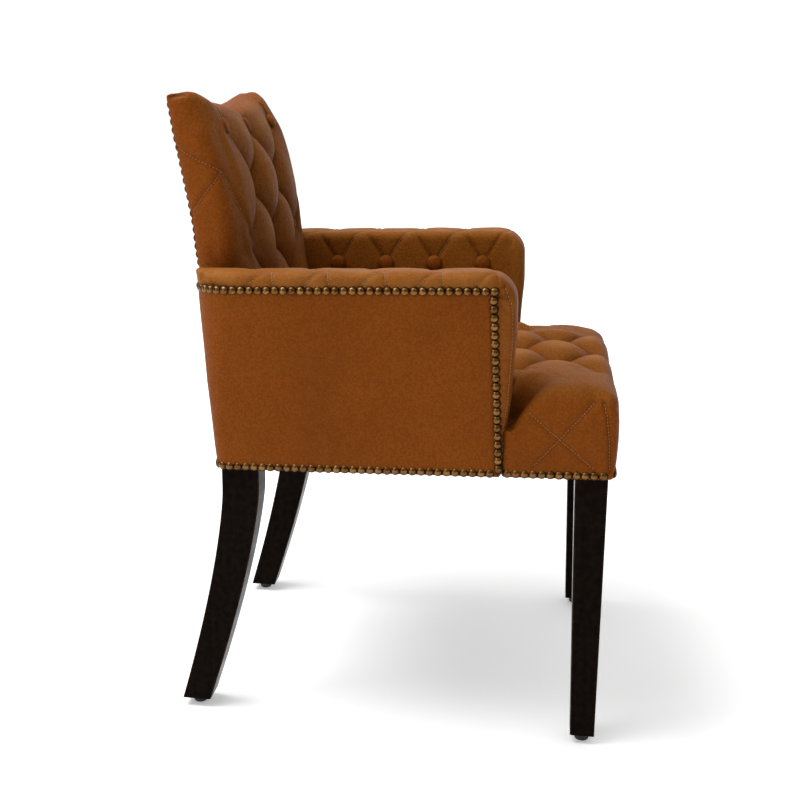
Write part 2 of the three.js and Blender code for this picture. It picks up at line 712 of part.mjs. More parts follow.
// The foam covers the front of the frame and folds over the top rail.
add(body, 'back_foam', cut(
  backVolume(softBottom, foamInset, foamInset + 1),
  alongX(
    backBand(softBottom - OVERSHOOT, BACK_FRAME_TOP + GAP, -OVERSHOOT, backStrapFar + GAP, BACK_STEPS),
    -BEYOND - BACK_HALF_WIDTH, BEYOND + BACK_HALF_WIDTH,
  ),
), foam);

add(body, 'outside_back_cover', common(
  alongX(
    backBand(BODY_BOTTOM, OUTSIDE_BACK_TOP, 0, SKIN, BACK_STEPS),
    -BEYOND - BACK_HALF_WIDTH, BEYOND + BACK_HALF_WIDTH,
  ),
  alongY(backFace(BODY_BOTTOM, SKIN + GAP), BEYOND, BACK_FOOT_REAR + 2 * BEYOND),
), leather);

// ---- Dust cover under the seat ------------------------------------------------------------

const dustFront = frontLegInner - DUST_COVER_MARGIN;
const dustSide = SIDE_RAIL_OUTER - DUST_COVER_MARGIN;
const dustRear = REAR_LEG_INNER - DUST_COVER_MARGIN;
const dustNotchFront = frontLegRear + DUST_COVER_MARGIN;
const dustNotchRear = rearLegFront - DUST_COVER_MARGIN;
const dustHalf = [
  [dustFront, FRONT_RAIL_FRONT], [dustFront, dustNotchFront], [dustSide, dustNotchFront],
  [dustSide, dustNotchRear], [dustRear, dustNotchRear], [dustRear, REAR_RAIL_REAR],
];
const dustOtherHalf = dustHalf.map(([x, y]) => [-x, y]).reverse();
add(body, 'dust_cover', alongZ(
  polygon([...dustHalf, ...dustOtherHalf]),
  RAIL_BOTTOM - GAP - DUST_COVER_THICKNESS, RAIL_BOTTOM - GAP,
), cambric);

// ---- Nail trim ----------------------------------------------------------------------------

// Each strip stands for a close row of domed upholstery nails.
const half = NAIL_STRIP_WIDTH / 2;
const hemLow = HEM_NAIL_HEIGHT - half;
const hemHigh = HEM_NAIL_HEIGHT + half;
const nailInner = BODY_HALF_WIDTH + GAP;
const nailOuter = nailInner + NAIL_STRIP_THICKNESS;
const nailTop = ARM_FRONT + NAIL_ARM_TOP_SETBACK;
const nailFoot = ARM_FRONT + NAIL_ARM_FOOT_SETBACK;
const nailRear = ARM_REAR - REAR_CORNER_RADIUS - NAIL_CORNER_MARGIN;

addArmPair('arm_nails', alongX(polygon([
  [nailRear, ARM_NAIL_HEIGHT - half], [nailRear, ARM_NAIL_HEIGHT + half],
  [nailTop - half, ARM_NAIL_HEIGHT + half], [nailFoot - half, hemHigh + 1],
  [nailFoot + half, hemHigh + 1], [nailTop + half, ARM_NAIL_HEIGHT - half],
]), nailInner, nailOuter), brass);
addArmPair('side_nails', block(
  nailInner, nailOuter, ARM_FRONT + GAP, nailRear, hemLow, hemHigh,
), brass);
addPair(body, 'seat_side_nails', block(
  SEAT_HALF_WIDTH + GAP, SEAT_HALF_WIDTH + GAP + NAIL_STRIP_THICKNESS,
  SEAT_FRONT + SEAT_EDGE_RADIUS, seatShoulderRear - SEAT_EDGE_RADIUS, hemLow, hemHigh,
), brass);
add(body, 'seat_front_nails', block(
  SEAT_EDGE_RADIUS - SEAT_HALF_WIDTH, SEAT_HALF_WIDTH - SEAT_EDGE_RADIUS,
  SEAT_FRONT - GAP - NAIL_STRIP_THICKNESS, SEAT_FRONT - GAP, hemLow, hemHigh,
), brass);
addPair(body, 'back_nails', alongX(
  backBand(
    BODY_BOTTOM, BACK_EAR_TOP - BACK_TOP_RADIUS - NAIL_CORNER_MARGIN,
    -GAP - NAIL_STRIP_THICKNESS, -GAP, BACK_STEPS,
  ),
  BACK_HALF_WIDTH - NAIL_STRIP_WIDTH - 1, BACK_HALF_WIDTH - 1,
), brass);

export default chair;
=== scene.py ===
import math

import bpy
import numpy as np
from mathutils import Matrix, Vector
from mathutils.bvhtree import BVHTree


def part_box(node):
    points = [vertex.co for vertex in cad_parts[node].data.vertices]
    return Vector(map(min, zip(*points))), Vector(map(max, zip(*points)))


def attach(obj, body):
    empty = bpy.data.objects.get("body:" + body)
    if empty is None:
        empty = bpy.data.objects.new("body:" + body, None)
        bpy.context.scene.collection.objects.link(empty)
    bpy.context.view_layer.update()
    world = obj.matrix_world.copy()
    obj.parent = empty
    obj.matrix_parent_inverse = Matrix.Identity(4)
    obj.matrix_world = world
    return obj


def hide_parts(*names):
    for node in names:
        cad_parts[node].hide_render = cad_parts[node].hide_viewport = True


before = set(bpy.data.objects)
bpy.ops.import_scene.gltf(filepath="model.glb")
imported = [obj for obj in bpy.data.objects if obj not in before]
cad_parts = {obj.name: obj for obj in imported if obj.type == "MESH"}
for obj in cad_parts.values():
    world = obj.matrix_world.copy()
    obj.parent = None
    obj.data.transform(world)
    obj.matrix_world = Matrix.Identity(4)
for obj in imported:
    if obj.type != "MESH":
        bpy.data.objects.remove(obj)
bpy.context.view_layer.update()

# The armchair's leather, nails, buttons, stitches and legs, round the frame that was built before, and
# finishes for the frame's own parts. Lengths are in millimetres until a mesh is made, and +Z is up,
# the chair faces -Y and +X is the sitter's left. The body is drawn level, as in the frame's source,
# and sheared down towards the back by SLOPE.

MM = 0.001

SLOPE = 0.0207            # fall of the body per millimetre of depth
FLARE = 0.0455            # how far the arms lean out per millimetre of height
BODY_BOTTOM = 398
BODY_FRONT = -309
SOFT_BOTTOM = 464         # underside of the cushions, just above the webbing
OUT_LEFT = np.array([1, 0, 0])
OUT_FRONT = np.array([0, -1, 0])
OUT_REAR = np.array([0, 1, 0])


def box_mm(node):
    low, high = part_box(node)
    return np.array(low) / MM, np.array(high) / MM


# ---- Curves that the frame's parts follow ----

BACK_FOOT = 402
BACK_FOOT_REAR = 242


def rear_of_back(z):
    rise = z - BACK_FOOT
    return BACK_FOOT_REAR + 0.045 * rise + 0.000187 * rise * rise


def full_rear(z):
    """The back's own rear face stands a little behind the arms' line, and comes back to it at the top."""
    fullness = 5 - 2.5 * smooth(z, 690, 740) - 2.5 * smooth(z, 850, 900)
    return rear_of_back(z) + fullness * smooth(z, 560, 660)


def back_depth(z):
    past = np.maximum(0, z - 792)
    return 72 - 0.00167 * past * past


def sloped(p):
    """Level body coordinates to the chair's own."""
    q = np.array(p, float)
    q[..., 2] -= SLOPE * (q[..., 1] - BODY_FRONT)
    return q


def flared(p):
    """The same for an arm, drawn upright on the sitter's left."""
    q = np.array(p, float)
    q[..., 0] += FLARE * (q[..., 2] - BODY_BOTTOM)
    return sloped(q)


def smooth(x, low, high):
    """0 below low, 1 above high, and an S curve between."""
    t = np.clip((x - low) / (high - low), 0, 1)
    return t * t * (3 - 2 * t)


def hashed(i, j, k=0.0):
    """A repeatable number from 0 to 1 for a pair of lattice indices."""
    s = np.sin(i * 127.1 + j * 311.7 + k * 74.7) * 43758.5453
    return s - np.floor(s)


# ---- Mesh making ----


def steps(*spans):
    """Grid lines from (start, end, size) spans that follow each other."""
    lines = [np.array([spans[0][0]], float)]
    for start, end, size in spans:
        count = max(1, round(abs(end - start) / size))
        lines.append(np.linspace(start, end, count + 1)[1:])
    return np.concatenate(lines)


def middles(lines):
    return (lines[1:] + lines[:-1]) / 2


def cell_surface(xs, ys, zs, filled):
    """The outer quads of the filled cells of a grid: points, and quads that face out."""
    f = np.pad(filled, 1)
    quads = []
    for axis in range(3):
        for side in (0, 1):
            other = np.roll(f, 1 if side == 0 else -1, axis)
            cell = np.argwhere(f & ~other) - 1
            a, b = [(1, 2), (2, 0), (0, 1)][axis]
            base = cell.copy()
            base[:, axis] += side
            corner = [base.copy() for _ in range(4)]
            corner[1][:, a] += 1
            corner[2][:, a] += 1
            corner[2][:, b] += 1
            corner[3][:, b] += 1
            quad = np.stack(corner, 1)
            quads.append(quad if side == 1 else quad[:, ::-1])
    quads = np.concatenate(quads)
    shape = np.array([len(xs), len(ys), len(zs)])
    key = (quads[..., 0] * shape[1] + quads[..., 1]) * shape[2] + quads[..., 2]
    used, index = np.unique(key, return_inverse=True)
    i, rest = used // (shape[1] * shape[2]), used % (shape[1] * shape[2])
    j, k = rest // shape[2], rest % shape[2]
    return np.stack([xs[i], ys[j], zs[k]], 1), index.reshape(-1, 4)


def make_mesh(name, points, faces, material):
    """A smooth shaded object from points in millimetres."""
    mesh = bpy.data.meshes.new(name)
    mesh.from_pydata((np.asarray(points) * MM).tolist(), [], [list(map(int, face)) for face in faces])
    mesh.validate()
    mesh.shade_smooth()
    mesh.materials.append(material)
    obj = bpy.data.objects.new(name, mesh)
    bpy.context.collection.objects.link(obj)
    return obj


def tube(first, rings, around):
    """Quads between rings of points that follow each other from the first point's number."""
    faces = []
    for low in range(first, first + (rings - 1) * around, around):
        for k in range(around):
            after = (k + 1) % around
            faces.append((low + k, low + after, low + around + after, low + around + k))
    return faces


def capped(first, rings, around):
    """The same with both ends closed."""
    last = first + (rings - 1) * around
    ends = [tuple(first + k for k in reversed(range(around))), tuple(last + k for k in range(around))]
    return tube(first, rings, around) + ends


def read(items, key, width=1):
    """One property of all items of a mesh, as rows of a given width or as plain numbers."""
    values = np.empty(len(items) * width, np.float32)
    items.foreach_get(key, values)
    return (values.reshape(-1, width) if width > 1 else values).astype(float)


def points_of(obj):
    return read(obj.data.vertices, "co", 3) / MM


def normals_of(obj):
    return read(obj.data.vertex_normals, "vector", 3)


def move_points(obj, points):
    obj.data.vertices.foreach_set("co", (np.asarray(points) * MM).astype(np.float32).ravel())
    obj.data.update()


def set_value(obj, name, values):
    layer = obj.data.attributes.get(name) or obj.data.attributes.new(name, "FLOAT", "POINT")
    layer.data.foreach_set("value", np.asarray(values, np.float32))


def get_value(obj, name):
    return read(obj.data.attributes[name].data, "value")


def set_values(obj, **named):
    for name, values in named.items():
        set_value(obj, name, values)


def get_values(obj, names):
    return [get_value(obj, name) for name in names.split()]


def push_out(obj, lift):
    """Moves each point of a piece along its normal."""
    move_points(obj, points_of(obj) + normals_of(obj) * lift[:, None])


def subdivide(obj):
    """One level of Catmull-Clark, applied."""
    modifier = obj.modifiers.new("finer", "SUBSURF")
    modifier.levels = 1
    modifier.render_levels = 1
    evaluated = obj.evaluated_get(bpy.context.evaluated_depsgraph_get())
    mesh = bpy.data.meshes.new_from_object(evaluated)
    obj.modifiers.clear()
    old = obj.data
    obj.data = mesh
    bpy.data.meshes.remove(old)


def mirror_of(obj, name):
    """A copy of a piece for the other side of the chair."""
    mesh = obj.data.copy()
    mesh.transform(Matrix.Scale(-1, 4, (1, 0, 0)))
    mesh.flip_normals()
    copy = bpy.data.objects.new(name, mesh)
    bpy.context.collection.objects.link(copy)
    return copy


CLOTH_FRAMES = 20
CLOTH = {
    "quality": 6, "mass": 0.4, "use_pressure": True, "tension_stiffness": 25, "compression_stiffness": 25,
    "shear_stiffness": 12, "bending_stiffness": 0.6,
}


def swell(obj, hold, pressure, cap):
    """Inflates a closed skin with the cloth solver, held where hold is 1. No point moves over cap."""
    start = points_of(obj)
    group = obj.vertex_groups.new(name="hold")
    tenths = np.round(hold * 10)
    for tenth in np.unique(tenths[tenths > 0]):
        group.add(np.flatnonzero(tenths == tenth).tolist(), tenth / 10, "REPLACE")
    cloth = obj.modifiers.new("swell", "CLOTH")
    for setting, value in CLOTH.items():
        setattr(cloth.settings, setting, value)
    cloth.settings.uniform_pressure_force = pressure
    cloth.settings.vertex_group_mass = "hold"
    cloth.settings.effector_weights.gravity = 0
    cloth.point_cache.frame_start = 1
    cloth.point_cache.frame_end = CLOTH_FRAMES
    for number in range(1, CLOTH_FRAMES + 1):
        bpy.context.scene.frame_set(number)
    evaluated = obj.evaluated_get(bpy.context.evaluated_depsgraph_get())
    moved = read(evaluated.data.vertices, "co", 3) / MM - start
    length = np.linalg.norm(moved, axis=1, keepdims=True)
    moved *= cap * np.tanh(length / cap) / np.maximum(length, 1e-6)
    obj.modifiers.clear()
    obj.vertex_groups.clear()
    bpy.context.scene.frame_set(1)
    move_points(obj, start + moved)


def soften(p, core, plan_power):
    """Rounds a boxy skin about its core points; the plan's corners are squarer at higher powers."""
    d = p - core
    a = np.abs(d)
    plan = (a[:, 0] ** plan_power + a[:, 1] ** plan_power) ** (1 / plan_power)
    length = np.hypot(plan, a[:, 2])
    keep = a.max(1) / np.maximum(length, 1e-9)
    return core + d * np.where(length > 1e-6, keep, 1)[:, None]


# ---- Tufting ----


class Lattice:
    """Staggered buttons over a flat piece of leather, joined by folds. a and b are half the pitch
    across and along, and u0 and v0 a button's place. Beyond v_high the folds run straight."""

    def __init__(self, a, b, u0, v0, v_high=math.inf):
        self.a, self.b, self.u0, self.v0, self.v_high = a, b, u0, v0, v_high

    def at(self, u, v):
        inside = np.minimum(v, self.v_high)
        x, y = (u - self.u0) / self.a, (inside - self.v0) / self.b
        p, q = (x + y) / 2, (x - y) / 2
        ip, iq = np.round(p), np.round(q)
        rp, rq = p - ip, q - iq
        du, dv = self.a * (rp + rq), self.b * (rp - rq) + v - inside
        size = 2 / math.hypot(1 / self.a, 1 / self.b)
        return {
            "dome": np.sqrt(np.abs(np.sin(math.pi * p) * np.sin(math.pi * q))),
            "fold": np.minimum(np.abs(rp), np.abs(rq)) * size,
            "along": np.where(np.abs(rp) < np.abs(rq), rq, rp) * math.hypot(self.a, self.b),
            "r": np.hypot(du, dv), "turn": np.arctan2(dv, du), "i": ip, "j": iq,
        }

    def buttons(self, rows):
        """The flat places of the buttons in some rows, two columns to each side of the middle."""
        spots = [(i, j) for j in rows for i in range(-2, 3) if (i - j) % 2 == 0]
        return [(self.u0 + self.a * i, self.v0 + self.b * j) for i, j in spots]


def pillows(t, height, sink):
    """Coarse height over the fold lines: rounded pillows, deepest at the buttons."""
    return height * t["dome"] - sink * np.exp(-(t["r"] / 26) ** 2)


def creases(t, depth):
    """Fine height: a sharp valley along each fold, gathers beside it and pleats round the buttons."""
    phase = 6.28 * hashed(t["i"], t["j"])
    count = 7 + np.round(3 * hashed(t["i"], t["j"], 1))
    valley = -depth * np.exp(-t["fold"] / 2.6)
    pleats = 0.9 * np.cos(count * t["turn"] + phase) * np.exp(-t["r"] / 17) * (1 - np.exp(-t["r"] / 7))
    gathers = 0.35 * np.sin(t["along"] / 1.7 + phase) * np.exp(-t["fold"] / 6)
    return valley + pleats + gathers


def tucked(t):
    """How far a point lies down in a fold, from 0 to 1, for the painted shade there, which also stands for
    the hide's darker antique in its folds.
    """
    return np.clip(np.exp(-t["fold"] / 5) + 0.8 * np.exp(-(t["r"] / 16) ** 2), 0, 1)


def rumple(p, size, amount):
    """Slow unevenness, the same each run, as a height."""
    x, y, z = (p / size).T
    slow = np.sin(1.3 * x + 2.1 * y + 0.4) + np.sin(2.3 * y - 1.7 * z + 1.1)
    slow += np.sin(1.9 * z + 1.2 * x + 2.0)
    quick = np.sin(4.1 * x - 3.3 * y + 0.7) + np.sin(3.7 * z + 4.3 * y + 1.9)
    return amount * (slow + 0.5 * quick) / 4


def off_line(p, q, ends):
    """Distance of points from the line between two ends, in the (p, q) plane."""
    (p0, q0), (p1, q1) = ends
    length = math.hypot(p1 - p0, q1 - q0)
    ux, uy = (p1 - p0) / length, (q1 - q0) / length
    along = np.clip((p - p0) * ux + (q - q0) * uy, 0, length)
    return np.hypot(p - p0 - along * ux, q - q0 - along * uy)


def off_lines(p, q, lines):
    """Distance from the nearest of some lines."""
    return np.minimum.reduce([off_line(p, q, ends) for ends in lines])


def groove(p, q, lines, width, depth):
    """Height of the leather along sewn lines."""
    return -depth * np.exp(-(off_lines(p, q, lines) / width) ** 2)


# ---- Materials ----


class Shader:
    """A Principled material with short ways to add nodes to it."""

    def __init__(self, name, **fixed):
        self.material = bpy.data.materials.new(name)
        self.material.use_nodes = True
        self.nodes = self.material.node_tree.nodes
        self.links = self.material.node_tree.links
        self.surface = self.nodes["Principled BSDF"]
        for socket, value in fixed.items():
            self.surface.inputs[socket.replace("_", " ")].default_value = value
        self.place = self.nodes.new("ShaderNodeTexCoord").outputs["Object"]

    def node(self, kind, inputs=(), **settings):
        made = self.nodes.new("ShaderNode" + kind)
        for key, value in settings.items():
            setattr(made, key, value)
        for socket, value in dict(inputs).items():
            if hasattr(value, "is_output"):
                self.links.new(value, made.inputs[socket])
            else:
                made.inputs[socket].default_value = value
        return made

    def stretched(self, scale):
        return self.node("Mapping", {"Vector": self.place, "Scale": scale}).outputs["Vector"]

    def noise(self, scale, detail=3.0, vector=None, roughness=0.5):
        values = {"Vector": vector or self.place, "Scale": scale, "Detail": detail, "Roughness": roughness}
        return self.node("TexNoise", values).outputs["Fac"]

    def cells(self, scale):
        return self.node("TexVoronoi", {"Vector": self.place, "Scale": scale}).outputs["Distance"]

    def attribute(self, name):
        return self.node("Attribute", attribute_name=name).outputs["Fac"]

    def math(self, operation, a, b=0.0):
        return self.node("Math", {0: a, 1: b}, operation=operation).outputs[0]

    def span(self, value, low, high, to_low, to_high):
        values = {"Value": value, "From Min": low, "From Max": high, "To Min": to_low, "To Max": to_high}
        return self.node("MapRange", values).outputs["Result"]

    def mix(self, share, a, b):
        """The colour a, b or between them. The numbers are the colour sockets of the Mix node."""
        return self.node("Mix", {0: share, 6: a, 7: b}, data_type="RGBA").outputs[2]

    def bump(self, height, distance, strength=1.0, after=None):
        values = {"Height": height, "Distance": distance, "Strength": strength}
        if after:
            values["Normal"] = after
        return self.node("Bump", values).outputs["Normal"]

    def finish(self, colour, roughness, normal=None):
        for socket, value in (("Base Color", colour), ("Roughness", roughness), ("Normal", normal)):
            if value is not None:
                self.links.new(value, self.surface.inputs[socket])
        return self.material


def leather():
    """Tan hide: mottled, paler where it is rubbed, darker between pebbles, with a painted olive sheen on
    faces that turn up or to the front, and painted shade in folds that also stands for the hide's darker
    antique there.
    """
    s = Shader("tan_leather", Specular_IOR_Level=0.07, Specular_Tint=(1.0, 0.8, 0.4, 1))
    light, dark, mottled = (0.203, 0.0475, 0.0045, 1), (0.158, 0.0358, 0.003, 1), (0.21, 0.057, 0.0075, 1)
    handled, rubbed = (0.2, 0.0635, 0.0068, 1), (0.29, 0.12, 0.026, 1)
    valley, painted_fold_shade = (0.1, 0.025, 0.002, 1), (0.06, 0.014, 0.002, 1)
    colour = s.mix(s.span(s.noise(7, 2), 0.35, 0.65, 0, 1), dark, light)
    colour = s.mix(s.span(s.noise(60, 5, roughness=0.65), 0.3, 0.7, 0, 0.45), colour, mottled)
    # Painted sheen: faces that turn up or to the front take the olive tint of the leather's reflection.
    colour = s.mix(s.math("MULTIPLY", s.attribute("handled"), 0.85), colour, handled)
    colour = s.mix(s.span(s.cells(310), 0.2, 0.7, 0, 0.5), colour, valley)
    # Painted shade in folds, seams, nailed edges and round buttons, partly the hide's darker antique there.
    colour = s.mix(s.math("MULTIPLY", s.attribute("fold"), 0.72), colour, painted_fold_shade)
    worn = s.math("MULTIPLY", s.attribute("crest"), s.span(s.noise(25, 3), 0.4, 0.7, 0.3, 0.6))
    colour = s.mix(worn, colour, rubbed)
    grain = s.math("ADD", s.math("MULTIPLY", s.cells(820), 0.7), s.math("MULTIPLY", s.cells(1700), 0.3))
    drawn = s.bump(s.noise(300, 3, roughness=0.6), 0.0016, 0.8)
    roughness = s.span(s.noise(90, 4), 0.3, 0.7, 0.5, 0.62)
    return s.finish(colour, roughness, s.bump(grain, 0.00035, 0.55, drawn))


def lacquered_wood():
    """Espresso lacquer over straight-grained wood, rubbed a little through along its edges."""
    s = Shader("espresso_lacquer", Coat_Weight=0.008, Coat_Roughness=0.08, Specular_IOR_Level=0.009)
    grain = s.noise(1, 5, s.stretched((190, 190, 9)), 0.6)
    dark, light = (0.0012, 0.0009, 0.0008, 1), (0.0038, 0.0025, 0.0019, 1)
    colour = s.mix(s.span(grain, 0.35, 0.7, 0, 1), dark, light)
    edge = s.math("MULTIPLY", s.attribute("edge"), s.span(s.noise(120, 4), 0.35, 0.7, 0.15, 0.8))
    colour = s.mix(edge, colour, (0.03, 0.016, 0.01, 1))
    return s.finish(colour, s.span(s.noise(40, 3), 0.3, 0.7, 0.16, 0.28), s.bump(grain, 0.0002, 0.3))


def aged_brass():
    """Upholstery nails: rubbed domes, with the shadow round each head painted dark on the rim, and dark
    patina in pits.
    """
    s = Shader("antique_brass", Metallic=1.0)
    shadow_and_patina = s.math("ADD", s.attribute("rim"), s.span(s.noise(900, 3), 0.5, 0.75, 0, 0.35))
    dull, bright = (0.11, 0.047, 0.0125, 1), (0.22, 0.112, 0.034, 1)
    tone = s.mix(s.span(s.noise(70, 2), 0.35, 0.65, 0, 1), dull, bright)
    colour = s.mix(shadow_and_patina, tone, (0.03, 0.014, 0.007, 1))
    return s.finish(colour, s.span(shadow_and_patina, 0, 1, 0.24, 0.6), s.bump(s.noise(700, 3), 0.0001, 0.3))


def thread():
    s = Shader("tan_thread", Sheen_Weight=0.2)
    twist = s.node("TexWave", {"Vector": s.place, "Scale": 900.0, "Distortion": 1.5}).outputs["Fac"]
    colour = s.mix(twist, (0.2, 0.08, 0.016, 1), (0.34, 0.15, 0.036, 1))
    return s.finish(colour, s.span(twist, 0, 1, 0.5, 0.75), s.bump(twist, 0.0001))


def raw_beech():
    s = Shader("raw_beech", Specular_IOR_Level=0.3)
    grain = s.noise(1, 4, s.stretched((14, 160, 160)), 0.6)
    colour = s.mix(grain, (0.40, 0.25, 0.13, 1), (0.62, 0.45, 0.27, 1))
    colour = s.mix(s.span(s.cells(420), 0, 0.35, 0.35, 0), colour, (0.25, 0.14, 0.07, 1))
    return s.finish(colour, s.span(grain, 0, 1, 0.6, 0.85), s.bump(grain, 0.0003))


def woven(name, dark, light, scale):
    s = Shader(name, Sheen_Weight=0.1)
    values = {"Vector": s.place, "Scale": scale}
    threads = [s.node("TexWave", values, bands_direction=axis).outputs["Fac"] for axis in "XY"]
    weave = s.math("MULTIPLY", *threads)
    colour = s.mix(s.math("ADD", weave, s.math("MULTIPLY", s.noise(45), 0.3)), dark, light)
    return s.finish(colour, s.span(weave, 0, 1, 0.95, 0.75), s.bump(weave, 0.0003))


def foam_rubber():
    s = Shader("open_cell_foam", Specular_IOR_Level=0.2)
    pores = s.cells(600)
    colour = s.mix(s.span(pores, 0, 0.5, 0, 1), (0.55, 0.45, 0.22, 1), (0.85, 0.78, 0.5, 1))
    return s.finish(colour, s.span(pores, 0, 1, 0.85, 1), s.bump(pores, 0.0006))


def zinc():
    s = Shader("zinc_plate", Metallic=1.0)
    spangle = s.cells(260)
    colour = s.mix(spangle, (0.42, 0.42, 0.44, 1), (0.68, 0.68, 0.66, 1))
    return s.finish(colour, s.span(spangle, 0, 0.6, 0.28, 0.5))


def moulded_plastic():
    s = Shader("glide_plastic", Specular_IOR_Level=0.4)
    scuff = s.noise(230, 5, roughness=0.7)
    colour = s.mix(s.span(scuff, 0.5, 0.75, 0, 1), (0.008, 0.008, 0.008, 1), (0.06, 0.055, 0.05, 1))
    return s.finish(colour, s.span(scuff, 0.3, 0.7, 0.4, 0.7), s.bump(scuff, 0.0002))


LEATHER = leather()
LACQUER = lacquered_wood()
BRASS = aged_brass()
THREAD = thread()
WEBBING = woven("elastic_webbing", (0.012, 0.011, 0.01, 1), (0.07, 0.06, 0.05, 1), 160.0)
CAMBRIC = woven("black_cambric", (0.006, 0.006, 0.006, 1), (0.03, 0.03, 0.032, 1), 320.0)

# The frame's nodes by the words in their names. A later row wins.
FINISHES = (
    (raw_beech(), ("rail", "block", "post")),
    (foam_rubber(), ("foam",)),
    (WEBBING, ("strap",)),
    (zinc(), ("bolt",)),
    (moulded_plastic(), ("glide",)),
    (LEATHER, ("cover", "band")),
    (BRASS, ("nails",)),
    (LACQUER, ("leg_left", "leg_right")),
    (CAMBRIC, ("dust",)),
)

for node_name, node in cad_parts.items():
    for finish, words in FINISHES:
        if any(word in node_name for word in words):
            node.data.materials.clear()
            node.data.materials.append(finish)


def shown_for(obj, slot, *nodes):
    """Gives a piece to the chair's one body, in place of the frame nodes that it stands for, if any."""
    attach(obj, "root")
    if nodes:
        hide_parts(*nodes)
    return obj


def soft_piece(obj, *nodes):
    """The same for leather over padding."""
    shown_for(obj, "leather", *nodes)
    return obj


# ---- Seat ----

SEAT_LOW, SEAT_HIGH = box_mm("seat_cover")
SEAT_HALF = SEAT_HIGH[0]
SEAT_FRONT = SEAT_LOW[1]
SEAT_REAR = SEAT_HIGH[1]
SEAT_TOP = SEAT_HIGH[2] + 1
SHOULDER_REAR = -178.5
TONGUE_HALF = 198
SEAT_ROUND = 22
SEAT_LATTICE = Lattice(70, 64, 0, -299)
SEAT_SIDE_LINES = (((-281, 506), (-204, 413.5)), ((-196, 488.5), (-284, 413)))
SEAT_CORNER_SEAM = (((-293, 505), (-298, 486)), ((-298, 486), (-303, 450)), ((-303, 450), (-305, 411)))
SIDE_RAIL_TOP = 459
SKIRT = 5                                   # thickness of the leather below the cushion
PLUMPER_RIGHT, FLATTER_LEFT = 5, 4          # the front corners are not pulled quite alike
SIDE_FALL_RIGHT, SIDE_FALL_LEFT = 4, 14


def seat_core(p):
    """The nearest point of the seat's core, which its rounded edges are drawn about."""
    r = SEAT_ROUND
    options = []
    for half, rear in ((SEAT_HALF, SHOULDER_REAR), (TONGUE_HALF, SEAT_REAR)):
        x = np.clip(p[:, 0], r - half, half - r)
        y = np.clip(p[:, 1], SEAT_FRONT + r, rear - r)
        options.append((x, y, np.hypot(p[:, 0] - x, p[:, 1] - y)))
    first = options[0][2] <= options[1][2]
    x, y = (np.where(first, options[0][i], options[1][i]) for i in (0, 1))
    return np.stack([x, y, np.minimum(p[:, 2], SEAT_TOP - r)], 1)


